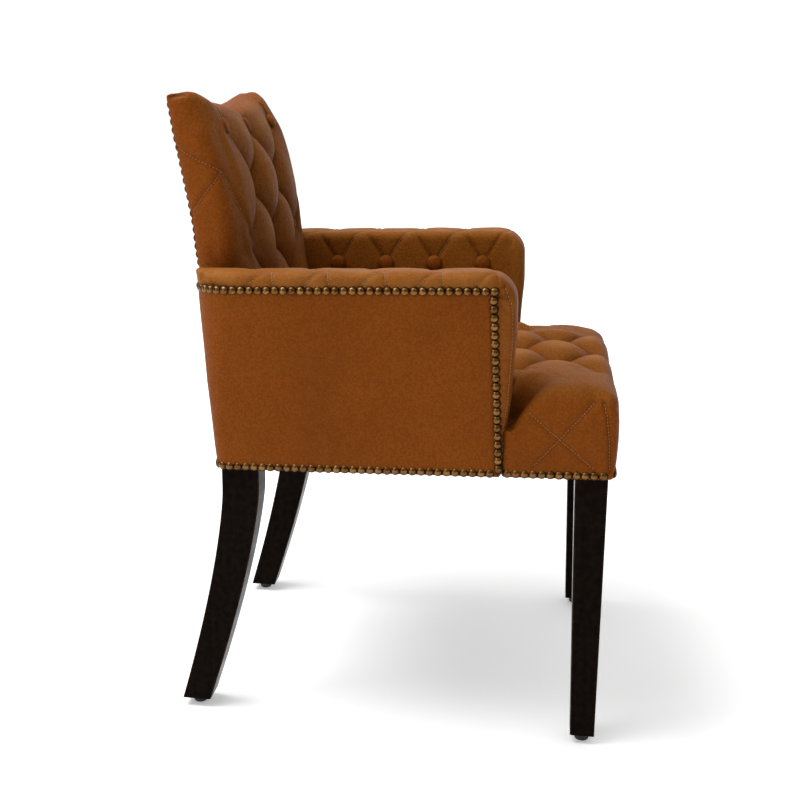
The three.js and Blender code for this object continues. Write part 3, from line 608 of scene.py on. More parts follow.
def seat():
    xs = steps((-SEAT_HALF, -TONGUE_HALF, 5), (-TONGUE_HALF, TONGUE_HALF, 5), (TONGUE_HALF, SEAT_HALF, 5))
    ys = steps((SEAT_FRONT, SHOULDER_REAR, 5), (SHOULDER_REAR, SEAT_REAR, 5))
    zs = steps((BODY_BOTTOM, SOFT_BOTTOM, 5.5), (SOFT_BOTTOM, SEAT_TOP, 5))
    x = np.abs(middles(xs))[:, None, None]
    y = middles(ys)[None, :, None]
    z = middles(zs)[None, None, :]
    front_part = y < SHOULDER_REAR
    upper = (z > SOFT_BOTTOM) & (front_part | (x < TONGUE_HALF))
    skirt = front_part & ((x > SEAT_HALF - SKIRT) | (y < SEAT_FRONT + SKIRT)) & (z < SOFT_BOTTOM)
    start, quads = cell_surface(xs, ys, zs, upper | skirt)
    x0, y0, z0 = start.T
    core = seat_core(start)
    outward = start - core
    size = np.linalg.norm(outward, axis=1)
    facing = outward / np.maximum(size, 1e-6)[:, None]
    in_skirt = (z0 <= SOFT_BOTTOM) & (np.abs(x0) < SEAT_HALF - 0.1) & (y0 > SEAT_FRONT + 0.1)
    outer = ~((size < SEAT_ROUND - 0.5) | in_skirt)

    # Unfolded places: over the front edge the pattern carries on down the front.
    turn = np.arctan2(np.maximum(-facing[:, 1], 0), np.maximum(facing[:, 2], 0)) * SEAT_ROUND
    down = np.maximum(SEAT_TOP - SEAT_ROUND - z0, 0)
    v = np.where(-facing[:, 1] > 0.02, SEAT_FRONT + SEAT_ROUND - turn - down, y0)
    t = SEAT_LATTICE.at(x0, v)
    top = smooth(facing[:, 2], 0.15, 0.9)
    ahead = smooth(-facing[:, 1], 0.5, 0.95) * outer
    side = smooth(np.abs(facing[:, 0]), 0.5, 0.95) * outer
    wing = smooth(np.abs(x0), 196, 236)
    outward_part = smooth(np.abs(x0), 105, 165) * smooth(-y0, 170, 200)
    share = top * (1 - 0.92 * outward_part) * (1 - 0.8 * smooth(-y0, 285, 309))
    share *= (1 - 0.6 * smooth(y0, 140, 172)) * outer

    hollow = np.where(x0 < 0, -PLUMPER_RIGHT, FLATTER_LEFT) + 8 * smooth(-y0, 245, 300)
    lift = 10 * top + share * (pillows(t, 18, 8) - 11) - hollow * outward_part * top
    lift += (3 * smooth(y0, -290, -190) - 4 * smooth(-y0, 215, 300)) * (1 - outward_part) * top
    bulge = np.sin(math.pi * np.clip((z0 - BODY_BOTTOM - 3) / 114, 0, 1)) ** 0.7
    lift = (lift + (3.5 * ahead + 4.5 * side) * bulge + rumple(start, 42, 1.2)) * outer

    obj = make_mesh("tufted_seat", soften(start, core, 5), quads, LEATHER)
    push_out(obj, lift)
    p = points_of(obj)

    # The wings fall away towards the arms, and their lower rear corners reach back to them.
    tall = np.clip((z0 - 440) / (SEAT_TOP - 440), 0, 1)
    low = np.interp(z0, [BODY_BOTTOM, 450], [18.5, 16.5])
    p[:, 1] += wing * low * smooth(y0, -240, SHOULDER_REAR)
    sides = np.clip((np.abs(x0) - 190) / 74, 0, 1) ** 2 * (y0 < SHOULDER_REAR + 0.1)
    p[:, 2] -= np.where(x0 < 0, SIDE_FALL_RIGHT, SIDE_FALL_LEFT) * sides * tall
    pocket = 1 + 0.4 * (1 - smooth(np.abs(x0), 232, 258))
    p[:, 2] -= wing * 66 * pocket * np.clip((p[:, 1] + 225) / 60, 0, 1) ** 1.5 * tall
    over_rail = SIDE_RAIL_TOP + 3 + (z0 - SOFT_BOTTOM) * 0.05
    p[:, 2] = np.where((z0 > SOFT_BOTTOM) & (wing > 0), np.maximum(p[:, 2], over_rail), p[:, 2])
    shape = sloped(p)
    move_points(obj, shape)
    set_values(obj, u=x0, v=v, share=share, outer=outer, side=side, ahead=ahead)
    set_values(obj, y0=shape[:, 1], z0=shape[:, 2])

    at_buttons = np.exp(-(t["r"] / 9) ** 2) * (share > 0.3)
    hold = np.maximum.reduce([
        at_buttons + 0.55 * np.exp(-(t["fold"] / 5) ** 2) * (share > 0.1),
        1 - outer.astype(float),
        1 - smooth(z0, BODY_BOTTOM + 8, 450),
        smooth(y0, 150, 165),
        (y0 > SHOULDER_REAR) * smooth(np.abs(x0), 180, 195),
    ])
    swell(obj, np.clip(hold, 0, 1), 4.0, 6)
    subdivide(obj)

    u, v, share, outer, side, ahead, y0, z0 = get_values(obj, "u v share outer side ahead y0 z0")
    t = SEAT_LATTICE.at(u, v)
    sewn = groove(y0, z0, SEAT_SIDE_LINES, 3.2, 2.2) * side
    corner = groove(y0, z0, SEAT_CORNER_SEAM, 2.4, 3.4) * (np.abs(u) > 257)
    quilted = -1.8 * np.exp(-(t["fold"] / 3) ** 2) * ahead * smooth(z0, 402, 412)
    push_out(obj, np.minimum(share * 1.2, 1) * creases(t, 3.2) + (sewn + quilted + corner) * outer)
    # Painted shade down in the folds, the stitched front lines and the sewn grooves.
    fold = tucked(t) * share + 0.3 * np.exp(-(t["fold"] / 2.5) ** 2) * ahead - 0.12 * sewn - 0.2 * corner
    # Painted sheen on the faces that turn upward.
    upward = smooth(normals_of(obj)[:, 2], 0.3, 0.85)
    set_values(obj, fold=np.clip(fold, 0, 1), crest=smooth(t["dome"], 0.7, 1) * share, handled=upward)
    return soft_piece(obj, "seat_cover", "seat_foam")


SEAT = seat()


# ---- Back ----

BACK_HALF = 200
BACK_EDGE = 42
BACK_TOP_EDGE = 13
BACK_TIGHT_EDGE = 8
BACK_FULL = 72
EAR_TOP = 912
BACK_LATTICE = Lattice(70, 84, 0, 530, v_high=866)
BACK_SIDE_SEAMS = (((197, 805), (251, 838)), ((197, 805), (252, 746)))
BACK_SIDE_FOLD = ((140, 698), (197, 805))
BACK_SIDE_STITCHES = (*BACK_SIDE_SEAMS, ((197, 805), (168, 750)))
BACK_TOP_PLEAT = ((140, 866), (141, 893))
EAR_TUCK = ((20, 906), (63, 906))
FULLER_LEFT, SHARPER_RIGHT = 6, 6.5         # the front edges are not pulled quite alike


def top_of_back(x):
    return 891 + 20 * (np.abs(x) / 200) ** 1.3


def back():
    xs = steps((-BACK_HALF, BACK_HALF, 5))
    ds = steps((0, BACK_FULL, 6))
    zs = steps((SOFT_BOTTOM, EAR_TOP, 5))
    start, quads = cell_surface(xs, ds, zs, np.ones((len(xs) - 1, len(ds) - 1, len(zs) - 1), bool))
    x0, d0, z0 = start.T
    top = top_of_back(x0)
    z0 = SOFT_BOTTOM + (z0 - SOFT_BOTTOM) * (top - SOFT_BOTTOM) / (EAR_TOP - SOFT_BOTTOM)
    start = np.stack([x0, d0, z0], 1)
    rear = BACK_FULL - 4
    tight = smooth(d0, BACK_EDGE - 4, BACK_EDGE + 16)
    side_edge = BACK_EDGE + (BACK_TIGHT_EDGE - BACK_EDGE) * tight
    top_edge = BACK_TOP_EDGE + (BACK_TIGHT_EDGE - BACK_TOP_EDGE) * tight
    inner_half = BACK_HALF - side_edge
    core = np.stack([
        np.clip(x0, -inner_half, inner_half), np.clip(d0, BACK_EDGE, rear), np.minimum(z0, top - top_edge),
    ], 1)
    radii = np.stack([side_edge, np.where(d0 < rear, BACK_EDGE, 4), top_edge], 1)
    facing = (start - core) / radii
    length = np.maximum(np.linalg.norm(facing, axis=1), 1e-6)
    facing = facing / length[:, None]
    p = core + facing * radii * np.abs((start - core) / radii).max(1)[:, None]
    outer = (length > 0.9) & (z0 > SOFT_BOTTOM + 1)

    # Unfolded width: over the front edges the leather carries on along the sides.
    bend = np.arctan2(np.abs(facing[:, 0]), np.maximum(-facing[:, 1], 0))
    turned = np.abs(facing[:, 0]) > 0.02
    round_edge = BACK_HALF - BACK_EDGE + bend * BACK_EDGE + np.maximum(d0 - BACK_EDGE, 0)
    across = np.where(turned, round_edge, np.abs(x0))
    u = np.copysign(across, x0)
    front = smooth(-facing[:, 1], 0.25, 0.9) * outer
    side = smooth(np.abs(facing[:, 0]), 0.55, 0.95) * outer
    t = BACK_LATTICE.at(u, z0)
    share = front * (1 - smooth(np.abs(u), 88, 172)) * (1 - 0.65 * smooth(z0, top - 40, top - 6))
    share *= 1 - 0.45 * smooth(z0, 790, 866)
    lift = share * (pillows(t, 23, 9) - 11)
    fuller = front * smooth(np.abs(u), 100, 160) * smooth(top - z0, 10, 60)
    lift += np.where(x0 < 0, 0, FULLER_LEFT) * fuller
    lift += 3 * side * np.sin(math.pi * np.clip((d0 - 6) / 66, 0, 1)) ** 0.7
    facet = np.sin(4 * bend) * smooth(z0, 650, 700) * smooth(top - z0, 15, 60)
    lift -= np.where(x0 < 0, SHARPER_RIGHT, 0) * facet
    lift = (lift + rumple(p, 50, 1.3)) * outer

    forward = 1 - np.clip(p[:, 1] / 50, 0, 1)
    p[:, 1] += 4 * smooth(p[:, 2], top - 55, top) * forward * (1 - smooth(np.abs(x0), 110, 180))
    ear = smooth(np.abs(x0), 120, 190) * smooth(p[:, 2], top - 40, top)
    p[:, 2] += ear * (6.5 * forward + 3.5 * np.sin(math.pi * np.clip(p[:, 1] / BACK_FULL, 0, 1)))
    lean = full_rear(p[:, 2]) - back_depth(p[:, 2]) * (1 - p[:, 1] / BACK_FULL)
    shape = sloped(np.stack([p[:, 0], lean, p[:, 2]], 1))
    obj = make_mesh("tufted_back", shape, quads, LEATHER)
    push_out(obj, lift)
    set_values(obj, u=u, v=z0, share=share, outer=outer, front=front, d0=d0)

    hold = np.maximum.reduce([
        (np.exp(-(t["r"] / 10) ** 2) + 0.5 * np.exp(-(t["fold"] / 5) ** 2)) * (share > 0.2),
        1 - smooth(z0, SOFT_BOTTOM + 5, SOFT_BOTTOM + 25),
        smooth(d0, BACK_FULL - 12, BACK_FULL - 3),
    ])
    swell(obj, np.clip(hold, 0, 1), 4.0, 6)
    subdivide(obj)

    u, v, share, outer, front, d0 = get_values(obj, "u v share outer front d0")
    t = BACK_LATTICE.at(u, v)
    seams = groove(np.abs(u), v, BACK_SIDE_SEAMS, 3.2, 2.4) * outer
    seams = np.minimum(seams, groove(np.abs(u), v, (BACK_SIDE_FOLD,), 6, 3) * outer)
    slit = groove(np.abs(u), v, (BACK_TOP_PLEAT,), 2.5, 4) * front
    slit = np.minimum(slit, groove(d0, v, (EAR_TUCK,), 3.4, 4) * (np.abs(u) > 208) * outer)
    push_out(obj, np.minimum(share * 1.2, 1) * creases(t, 3.4) + seams + slit)
    # Painted shade down in the folds, seams and slits.
    fold = tucked(t) * share - 0.1 * seams - 0.24 * slit
    # Painted sheen on the front-facing leather.
    set_values(obj, fold=np.clip(fold, 0, 1), crest=smooth(t["dome"], 0.7, 1) * share, handled=front)
    return soft_piece(obj, "back_cover", "back_foam")


BACK = back()


# ---- Arms ----

ARM_INNER, ARM_OUTER = 201, 268
ARM_FRONT, ARM_REAR = -177, 241
ARM_TOP = 676
ARM_NOSE = 40
ARM_EDGE = 13
ARM_NAILS = 653
ARM_MIDDLE = (ARM_INNER + ARM_OUTER) / 2
ARM_FLAT = (ARM_OUTER - ARM_INNER) / 2 - ARM_EDGE
EDGE_ARC = ARM_EDGE * math.pi / 2
ARM_BUTTON_ROW = 624
STRIP = 5                                   # the leather that runs down the front below the pad
STRIP_REAR = -150
PANEL_TOP = 655.5
PANEL_FOOT = 399
ARM_BUTTONS = [-106 + 83 * k for k in range(-1, 5)]
ARM_APEXES = [-76 + 76 * k for k in range(-1, 5)]
ARM_LOWER_ROW = 552
ARM_FOLDS = []
ARM_SEAMS = []
for button, apex in zip(ARM_BUTTONS, ARM_APEXES):
    here, crest, fork, foot = (button, ARM_BUTTON_ROW), (button + 43, 688), (apex, 716), (button, 470)
    ahead, behind = (button - 41, ARM_LOWER_ROW), (button + 42, ARM_LOWER_ROW)
    ARM_FOLDS += [(here, crest), (here, ahead), (here, behind), (ahead, foot), (behind, foot)]
    ARM_SEAMS += [((button + 83, ARM_BUTTON_ROW), crest), (crest, fork)]
    ARM_SEAMS += [(fork, (apex + 36, 756)), (fork, (apex - 6, 756))]

ARM_FRONT_SEAM = (
    ((-160, 656), (-169.5, 632)), ((-169.5, 632), (-174, 586)), ((-174, 586), (-170, 504)),
    ((-170, 504), (-162.5, 450)),
)
ARM_NOSE_PLEATS = (((-148, 650), (-160, 658)), ((-149, 644), (-166, 640)), ((-150, 636), (-166, 620)))


def arc_share(a, b):
    """How far two offsets into a square corner, each from 0 to 1, shrink when the corner is rounded."""
    share = np.maximum(a, b) / np.maximum(np.hypot(a, b), 1e-6)
    return np.where((a > 0) & (b > 0), share, 1)


def round_arm(start):
    """Rounds the arm's block: a wide nose seen from the side, then its long edges."""
    x, y, z = start.T
    a = np.clip((ARM_FRONT + ARM_NOSE - y) / ARM_NOSE, 0, 1)
    b = np.clip((z - ARM_TOP + ARM_NOSE) / ARM_NOSE, 0, 1)
    keep = arc_share(a, b)
    gaps = np.stack([y - ARM_FRONT, ARM_REAR - y, ARM_TOP - z], 1)
    y = y + ARM_NOSE * a * (1 - keep)
    z = z - ARM_NOSE * b * (1 - keep)

    inward = np.array([[1.0, 0.0], [-1.0, 0.0], [0.0, -1.0]])[gaps.argmin(1)]
    radial = np.stack([a, -b], 1) / np.maximum(np.hypot(a, b), 1e-6)[:, None]
    inward = np.where(((a > 0) & (b > 0))[:, None], radial, inward)
    across = x - ARM_MIDDLE
    side = np.clip((np.abs(across) - ARM_FLAT) / ARM_EDGE, 0, 1)
    rim = np.clip(1 - gaps.min(1) / ARM_EDGE, 0, 1)
    keep = arc_share(side, rim)
    across = np.where(side > 0, np.copysign(ARM_FLAT + ARM_EDGE * side * keep, across), across)
    shift = ARM_EDGE * rim * (1 - keep)
    angle = np.arctan2(rim * keep, np.maximum(side * keep, 1e-6))
    y += inward[:, 0] * shift
    z += inward[:, 1] * shift
    return np.stack([ARM_MIDDLE + across, y, z], 1), side, angle


def girth(start, side, angle):
    """Place along the arm's leather: up the inside, over the top and down the outside."""
    x, z = start[:, 0], start[:, 2]
    foot = ARM_TOP - ARM_EDGE
    arc = np.where(z > foot, ARM_EDGE * np.where(side > 0, angle, math.pi / 2), 0)
    inner = np.minimum(z, foot) + arc
    top = foot + EDGE_ARC + x - ARM_INNER - ARM_EDGE
    outer = foot + EDGE_ARC + 2 * ARM_FLAT + EDGE_ARC - arc + np.maximum(foot - z, 0)
    return np.where(x < ARM_INNER + ARM_EDGE, inner, np.where(x > ARM_OUTER - ARM_EDGE, outer, top))


def rear_corner_radius(z):
    """The rear outer corner of the arm, seen from above: wide at the top and tight at the foot."""
    return 20 + 40 * np.clip((z - PANEL_FOOT) / (PANEL_TOP - PANEL_FOOT), 0, 1) ** 1.5


def arm():
    xs = steps((ARM_INNER, ARM_OUTER - STRIP, 4.8), (ARM_OUTER - STRIP, ARM_OUTER, 5))
    ys = steps((ARM_FRONT, STRIP_REAR, 4.5), (STRIP_REAR, ARM_REAR, 4.6))
    zs = steps((BODY_BOTTOM, SOFT_BOTTOM, 5), (SOFT_BOTTOM, ARM_TOP, 4.6))
    x = middles(xs)[:, None, None]
    y = middles(ys)[None, :, None]
    z = middles(zs)[None, None, :]
    block = (z > SOFT_BOTTOM) | (z > 436) & (y < STRIP_REAR)
    front_strip = (y < STRIP_REAR) & (x > ARM_OUTER - STRIP)
    start, quads = cell_surface(xs, ys, zs, block | front_strip)
    p, side, angle = round_arm(start)
    x0, y0, z0 = start.T
    w = girth(start, side, angle)
    inner_face = x0 < ARM_INNER + 0.1
    outer_face = x0 > ARM_OUTER - 0.1
    on_front = (y0 < ARM_FRONT + 0.1) & (side <= 0)

    radius = rear_corner_radius(p[:, 2])
    a = np.clip((p[:, 0] - ARM_OUTER + radius) / radius, 0, 1)
    b = np.clip((p[:, 1] - ARM_REAR + radius) / radius, 0, 1)
    keep = arc_share(a, b)
    p[:, 0] += radius * a * (keep - 1)
    p[:, 1] += radius * b * (keep - 1)
    low = np.interp(z0, [BODY_BOTTOM, 444, 502, 590], [13.5, 13.5, 6, 1.5])
    p[:, 1] += low * (1 - smooth(y0, ARM_FRONT, -60))
    p[:, 1] += np.clip((y0 - 181) / 60, 0, 1) * (rear_of_back(p[:, 2]) - BACK_FOOT_REAR)

    folds, seams = off_lines(y0, w, ARM_FOLDS), off_lines(y0, w, ARM_SEAMS)
    inside = 1 - smooth(w, 662, 696)
    ahead = 1 - smooth(-y0, 140, 168)
    share_in = inside * ahead * (1 - on_front) * (z0 > SOFT_BOTTOM + 1)
    band = (1 - inside) * (1 - smooth(w, 752, 758)) * ahead
    lift = share_in * (2.6 * np.tanh(folds / 8) + 1.5 * np.tanh(seams / 8) - 3)
    lift += band * (1.6 * np.tanh(seams / 10) + 1.2 * np.sin(math.pi * np.clip((w - 690) / 66, 0, 1)) - 1)
    lift += 0.8 * (1 - ahead) * (w < 754) * np.sin(math.pi * np.clip((z0 - 410) / 280, 0, 1))
    lift -= 2.5 * np.exp(-((w - 757) / 3.5) ** 2) * outer_face
    behind = (y0 > ARM_REAR - 12) & (z0 < ARM_NAILS - 4) & ~inner_face
    covered = outer_face & (w > 757) & (y0 > -146) | behind
    tucked_in = np.where(behind, -np.interp(z0, [SOFT_BOTTOM, 520], [7, 4]), -2)
    lift = np.where(covered, tucked_in, lift + rumple(p, 38, 1.0) * (w < 754))
    shape = flared(p)
    obj = make_mesh("arm_pad_left", shape, quads, LEATHER)
    push_out(obj, lift)
    set_values(obj, u=y0, v=w, share=share_in, band=band, ahead=ahead, outside=outer_face, z0=z0)
    set_values(obj, yr=shape[:, 1], zr=shape[:, 2])
    hold = np.maximum.reduce([
        0.7 * np.exp(-(folds / 5) ** 2) * share_in,
        covered,
        0.6 * np.exp(-(seams / 4) ** 2) * (w > 600),
        0.75 * smooth(w, 670, 700),
        1 - smooth(z0, SOFT_BOTTOM - 10, SOFT_BOTTOM + 15),
        smooth(y0, 215, 232),
    ])
    swell(obj, np.clip(hold, 0, 1), 3.5, 4)
    subdivide(obj)

    u, v, share, band, ahead, outside, yr, zr = get_values(obj, "u v share band ahead outside yr zr")
    folds, seams = off_lines(u, v, ARM_FOLDS), off_lines(u, v, ARM_SEAMS)
    sewn = np.exp(-(seams / 2.5) ** 2)
    gathers = 0.4 * np.sin(u / 1.5) * np.exp(-np.abs(v - 757) / 5) * (v < 757) * (v > 740) * outside
    piping = groove(yr, zr, ARM_FRONT_SEAM, 2.2, 1.8) * outside
    pleats = groove(yr, zr, ARM_NOSE_PLEATS, 2.0, 1.6) * outside
    drawn_in = share * (-3 * np.exp(-folds / 2.4) - 1.6 * sewn) - 1.5 * band * sewn
    push_out(obj, drawn_in + gathers + piping + pleats)
    # Painted shade in the folds and seams, and along the line where the outside panel tucks under the pad.
    fold = share * (0.6 * np.exp(-folds / 3) + 0.4 * np.exp(-(seams / 3) ** 2))
    fold += 0.25 * band * np.exp(-(seams / 2) ** 2) + 0.6 * np.exp(-((v - 758) / 4) ** 2) * outside
    fold -= 0.22 * (piping + pleats)
    set_values(obj, fold=np.clip(fold, 0, 1), crest=np.clip(band + 0.5 * (1 - ahead), 0, 1))
    # Painted sheen on the inside of the arm, fading over its top.
    set_value(obj, "handled", 1 - smooth(v, 680, 730))
    return obj


ARM_LEFT = arm()
ARM_RIGHT = mirror_of(ARM_LEFT, "arm_pad_right")
soft_piece(ARM_LEFT, "arm_band_left", "arm_foam_left", "inside_arm_cover_left")
soft_piece(ARM_RIGHT, "arm_band_right", "arm_foam_right", "inside_arm_cover_right")


# ---- Outside panels ----

PANEL_FACE = 270
PANEL_INNER = 201.5
PANEL_TUCK = 190                            # the sheet's edge below the back's padding
PANEL_SHEET = 4
HEM_NAILS = 404.5


def upright_line(z):
    """The nailed front edge of the outside arm."""
    return np.interp(z, [HEM_NAILS, ARM_NAILS], [-157.5, -144.5])


def arm_wall(z, straight, arc, rear):
    """Plan points of the outside arm at one height, from its nailed front edge round to the back."""
    radius = rear_corner_radius(z)
    end = rear_of_back(z) - np.interp(z, [PANEL_FOOT, 520], [5, 1])
    along = np.linspace(upright_line(z) - 1.5, end - radius, straight)
    turn = np.linspace(0, math.pi / 2, arc + 1)[1:]
    inner = np.interp(z, [460, 470], [PANEL_TUCK, PANEL_INNER])
    across = np.linspace(PANEL_FACE - radius, inner, rear + 1)[1:]
    x = np.concatenate([np.full(straight, PANEL_FACE), PANEL_FACE - radius * (1 - np.cos(turn)), across])
    y = np.concatenate([along, end - radius * (1 - np.sin(turn)), np.full(rear, end)])
    nx = np.concatenate([np.ones(straight), np.cos(turn), np.zeros(rear)])
    return np.stack([x, y, np.full(len(x), z)], 1), np.stack([nx, np.sqrt(1 - nx * nx), 0 * nx], 1)


def shell(name, outside, inside, material):
    """A closed sheet from two matching grids of points."""
    rows, columns = outside.shape[:2]
    index = np.arange(rows * columns).reshape(rows, columns)
    quads = np.stack([index[:-1, :-1], index[:-1, 1:], index[1:, 1:], index[1:, :-1]], -1).reshape(-1, 4)
    rim = np.concatenate([index[0, :-1], index[:-1, -1], index[-1, :0:-1], index[:0:-1, 0]])
    after = np.roll(rim, -1)
    offset = rows * columns
    edge = np.stack([rim, rim + offset, after + offset, after], 1)
    points = np.concatenate([outside.reshape(-1, 3), inside.reshape(-1, 3)])
    return make_mesh(name, points, np.concatenate([quads, quads[:, ::-1] + offset, edge]), material)


def crown_of(rows, columns, height):
    """Taut leather's slight crown, and its edges drawn in under the nails."""
    a = np.linspace(0, 1, rows)[:, None]
    b = np.linspace(0, 1, columns)[None, :]
    edge = np.minimum(np.minimum(a, 1 - a) * rows, np.minimum(b, 1 - b) * columns)
    return height * (np.sin(math.pi * a) * np.sin(math.pi * b)) ** 0.6 - 1.6 * np.exp(-edge / 1.4)


def darken_edges(obj, rows, columns, dark, last_column):
    """Paints shade on both faces of a sheet where its edges are drawn in under the nails."""
    fold = np.zeros((rows, columns))
    fold[:2] = fold[-2:] = fold[:, :2] = dark
    if last_column:
        fold[:, -2:] = dark
    set_value(obj, "fold", np.tile(fold.ravel(), 2))


def outside_arm():
    heights = np.linspace(PANEL_FOOT, PANEL_TOP, 58)
    walls = [arm_wall(z, 76, 12, 10) for z in heights]
    p = np.array([wall[0] for wall in walls])
    n = np.array([wall[1] for wall in walls])
    lift = crown_of(*p.shape[:2], 2.2) + rumple(p.reshape(-1, 3), 60, 0.7).reshape(p.shape[:2])
    out = flared(p + n * lift[..., None])
    obj = shell("outside_arm_left", out, flared(p - n * PANEL_SHEET), LEATHER)
    darken_edges(obj, *p.shape[:2], 0.8, False)
    return obj


OUTSIDE_LEFT = outside_arm()
OUTSIDE_RIGHT = mirror_of(OUTSIDE_LEFT, "outside_arm_right")
shown_for(OUTSIDE_LEFT, "leather", "outside_arm_cover_left")
shown_for(OUTSIDE_RIGHT, "leather", "outside_arm_cover_right")

OUTSIDE_BACK_HALF = 195.6


def outside_back():
    across = np.linspace(OUTSIDE_BACK_HALF, -OUTSIDE_BACK_HALF, 72)
    share = np.linspace(0, 1, 90)
    x, s = np.meshgrid(across, share)
    z = PANEL_FOOT + (top_of_back(x) - 7 - PANEL_FOOT) * s
    lift = crown_of(*x.shape, 2.4) + 0.8
    out = np.stack([x, full_rear(z) + lift, z], -1)
    inner = np.stack([x, full_rear(z) - PANEL_SHEET, z], -1)
    obj = shell("outside_back", sloped(out), sloped(inner), LEATHER)
    darken_edges(obj, *x.shape, 0.7, True)
    return shown_for(obj, "leather", "outside_back_cover")


OUTSIDE_BACK = outside_back()


# ---- Domes: upholstery nails and covered buttons ----

NAIL_PITCH = 11.6
REACH = 8                                   # how far out from a surface it is looked for
BACK_NAILS = 44
BACK_NAILS_TOP = 896
BACK_NAILS_OUT = 187.5
BACK_NAIL_SINK = 0.8
DOME_TILT = 0.1
# Radius and height of each ring from the rim up, and how dark it is: the flange that reaches out and down
# is painted dark as the shadow round the head, and the dome's foot is a little darker.
NAIL_PROFILE = ((6.7, -0.9), (6.5, 0.15), (5.5, 0.35), (5.1, 1.5), (4.0, 2.6), (2.4, 3.3), (0.9, 3.55))
NAIL_SHADE_AND_PATINA = (1, 1, 0.9, 0.25, 0.03, 0, 0)
# The buttons' rings as above; their darkness is painted shade round each button's foot, where it sinks into
# the leather.
BUTTON_PROFILE = ((10.8, -5), (11.8, -1), (11.3, 1.6), (9.0, 3.6), (5.6, 4.8), (1.8, 5.3))
BUTTON_FOOT_SHADE = (1, 0.9, 0.45, 0.1, 0, 0)


def domes(name, places, profile, segments, material, dark_name, dark_rings):
    """One mesh of small domes. places are (point, normal) pairs."""
    points, faces, dark = [], [], []
    angles = np.linspace(0, 2 * math.pi, segments, endpoint=False)
    for number, (centre, normal) in enumerate(places):
        axis = normal + DOME_TILT * (hashed(number, np.array([1, 2, 3])) - 0.5)
        axis = axis / np.linalg.norm(axis)
        side = np.cross(axis, [0.3, 0.2, 0.93])
        side = side / np.linalg.norm(side)
        other = np.cross(axis, side)
        faces += tube(len(points), len(profile), segments)
        circle = np.cos(angles)[:, None] * side + np.sin(angles)[:, None] * other
        for (radius, height), shade in zip(profile, dark_rings):
            points.extend(centre + circle * radius + axis * height)
            dark += [shade] * segments
        apex = len(points)
        points.append(centre + axis * (profile[-1][1] + 0.05))
        dark.append(dark_rings[-1])
        for k in range(segments):
            faces.append((apex - segments + k, apex - segments + (k + 1) % segments, apex))
    obj = make_mesh(name, points, faces, material)
    set_value(obj, dark_name, dark)
    return obj


def spaced(path, normals):
    """Points and normals at the nails' pitch along a polyline. normals may be one for all."""
    values = np.concatenate([path, np.broadcast_to(normals, path.shape)], 1).astype(float)
    length = np.concatenate([[0], np.cumsum(np.linalg.norm(np.diff(values[:, :3], axis=0), axis=1))])
    where = np.linspace(0, length[-1], max(2, round(length[-1] / NAIL_PITCH) + 1))
    even = np.stack([np.interp(where, length, values[:, k]) for k in range(6)], 1)
    return even[:, :3], even[:, 3:]


def surface_of(objects):
    points, faces = [], []
    for obj in objects:
        first = len(points)
        points.extend(v.co.copy() for v in obj.data.vertices)
        faces.extend(tuple(first + i for i in face.vertices) for face in obj.data.polygons)
    return BVHTree.FromPolygons(points, faces)


def on_surface(tree, path, outward):
    """Each point's place on a surface, seen along its outward direction, with that as its normal."""
    places = []
    for point, away in zip(path, np.broadcast_to(outward, path.shape)):
        found = tree.ray_cast(Vector((point + away * REACH) * MM), Vector(-away), 2 * REACH * MM)[0]
        places.append((point if found is None else np.array(found) / MM, away / np.linalg.norm(away)))
    return places


def mirrored(places):
    flip = np.array([-1, 1, 1])
    return [(point * flip, normal * flip) for point, normal in places]


def nail_row(name, node, places):
    shown_for(domes(name, places, NAIL_PROFILE, 14, BRASS, "rim", NAIL_SHADE_AND_PATINA), "nails", node)


def nail_rows(name, node, places):
    """A row on the sitter's left and its mirror image."""
    nail_row(name + "_left", node + "_left", places)
    nail_row(name + "_right", node + "_right", mirrored(places))


def nails():
    arm_side = surface_of([OUTSIDE_LEFT, ARM_LEFT])
    seat_side = surface_of([SEAT])

    # The arm's rows: along under the pad and round the rear corner, then down the front edge.
    wall, normal = arm_wall(ARM_NAILS, 60, 14, 4)
    top, top_away = spaced(flared(wall), normal)
    heights = np.arange(ARM_NAILS - NAIL_PITCH, HEM_NAILS - 1, -NAIL_PITCH * 0.995)
    upright = flared(np.stack([np.full(len(heights), PANEL_FACE), upright_line(heights), heights], 1))
    rows = on_surface(arm_side, top, top_away) + on_surface(arm_side, upright, OUT_LEFT)
    nail_rows("nails_arm", "arm_nails", rows)

    wall, normal = arm_wall(HEM_NAILS, 60, 8, 3)
    hem, hem_away = spaced(flared(wall[2:]), normal[2:])
    rows = on_surface(arm_side, hem, hem_away)
    nail_rows("nails_side", "side_nails", rows)

    ends = sloped(np.array([[SEAT_HALF, -169.5, HEM_NAILS], [SEAT_HALF, -296, HEM_NAILS]]))
    rows = on_surface(seat_side, *spaced(ends, OUT_LEFT))
    nail_rows("nails_seat", "seat_side_nails", rows)

    ends = sloped(np.array([[-256, SEAT_FRONT, HEM_NAILS], [256, SEAT_FRONT, HEM_NAILS]]))
    rows = on_surface(seat_side, *spaced(ends, OUT_FRONT))
    nail_row("nails_seat_front", "seat_front_nails", rows)

    heights = np.linspace(HEM_NAILS, BACK_NAILS_TOP, BACK_NAILS)
    row = sloped(np.stack([np.full(BACK_NAILS, BACK_NAILS_OUT), full_rear(heights), heights], 1))
    rows = on_surface(surface_of([OUTSIDE_BACK]), row, OUT_REAR)
    rows = [(point - BACK_NAIL_SINK * normal, normal) for point, normal in rows]
    nail_rows("nails_back", "back_nails", rows)


nails()


# ---- Places found from the flat coordinates stored on a piece ----


SKIN_NEAREST = 5


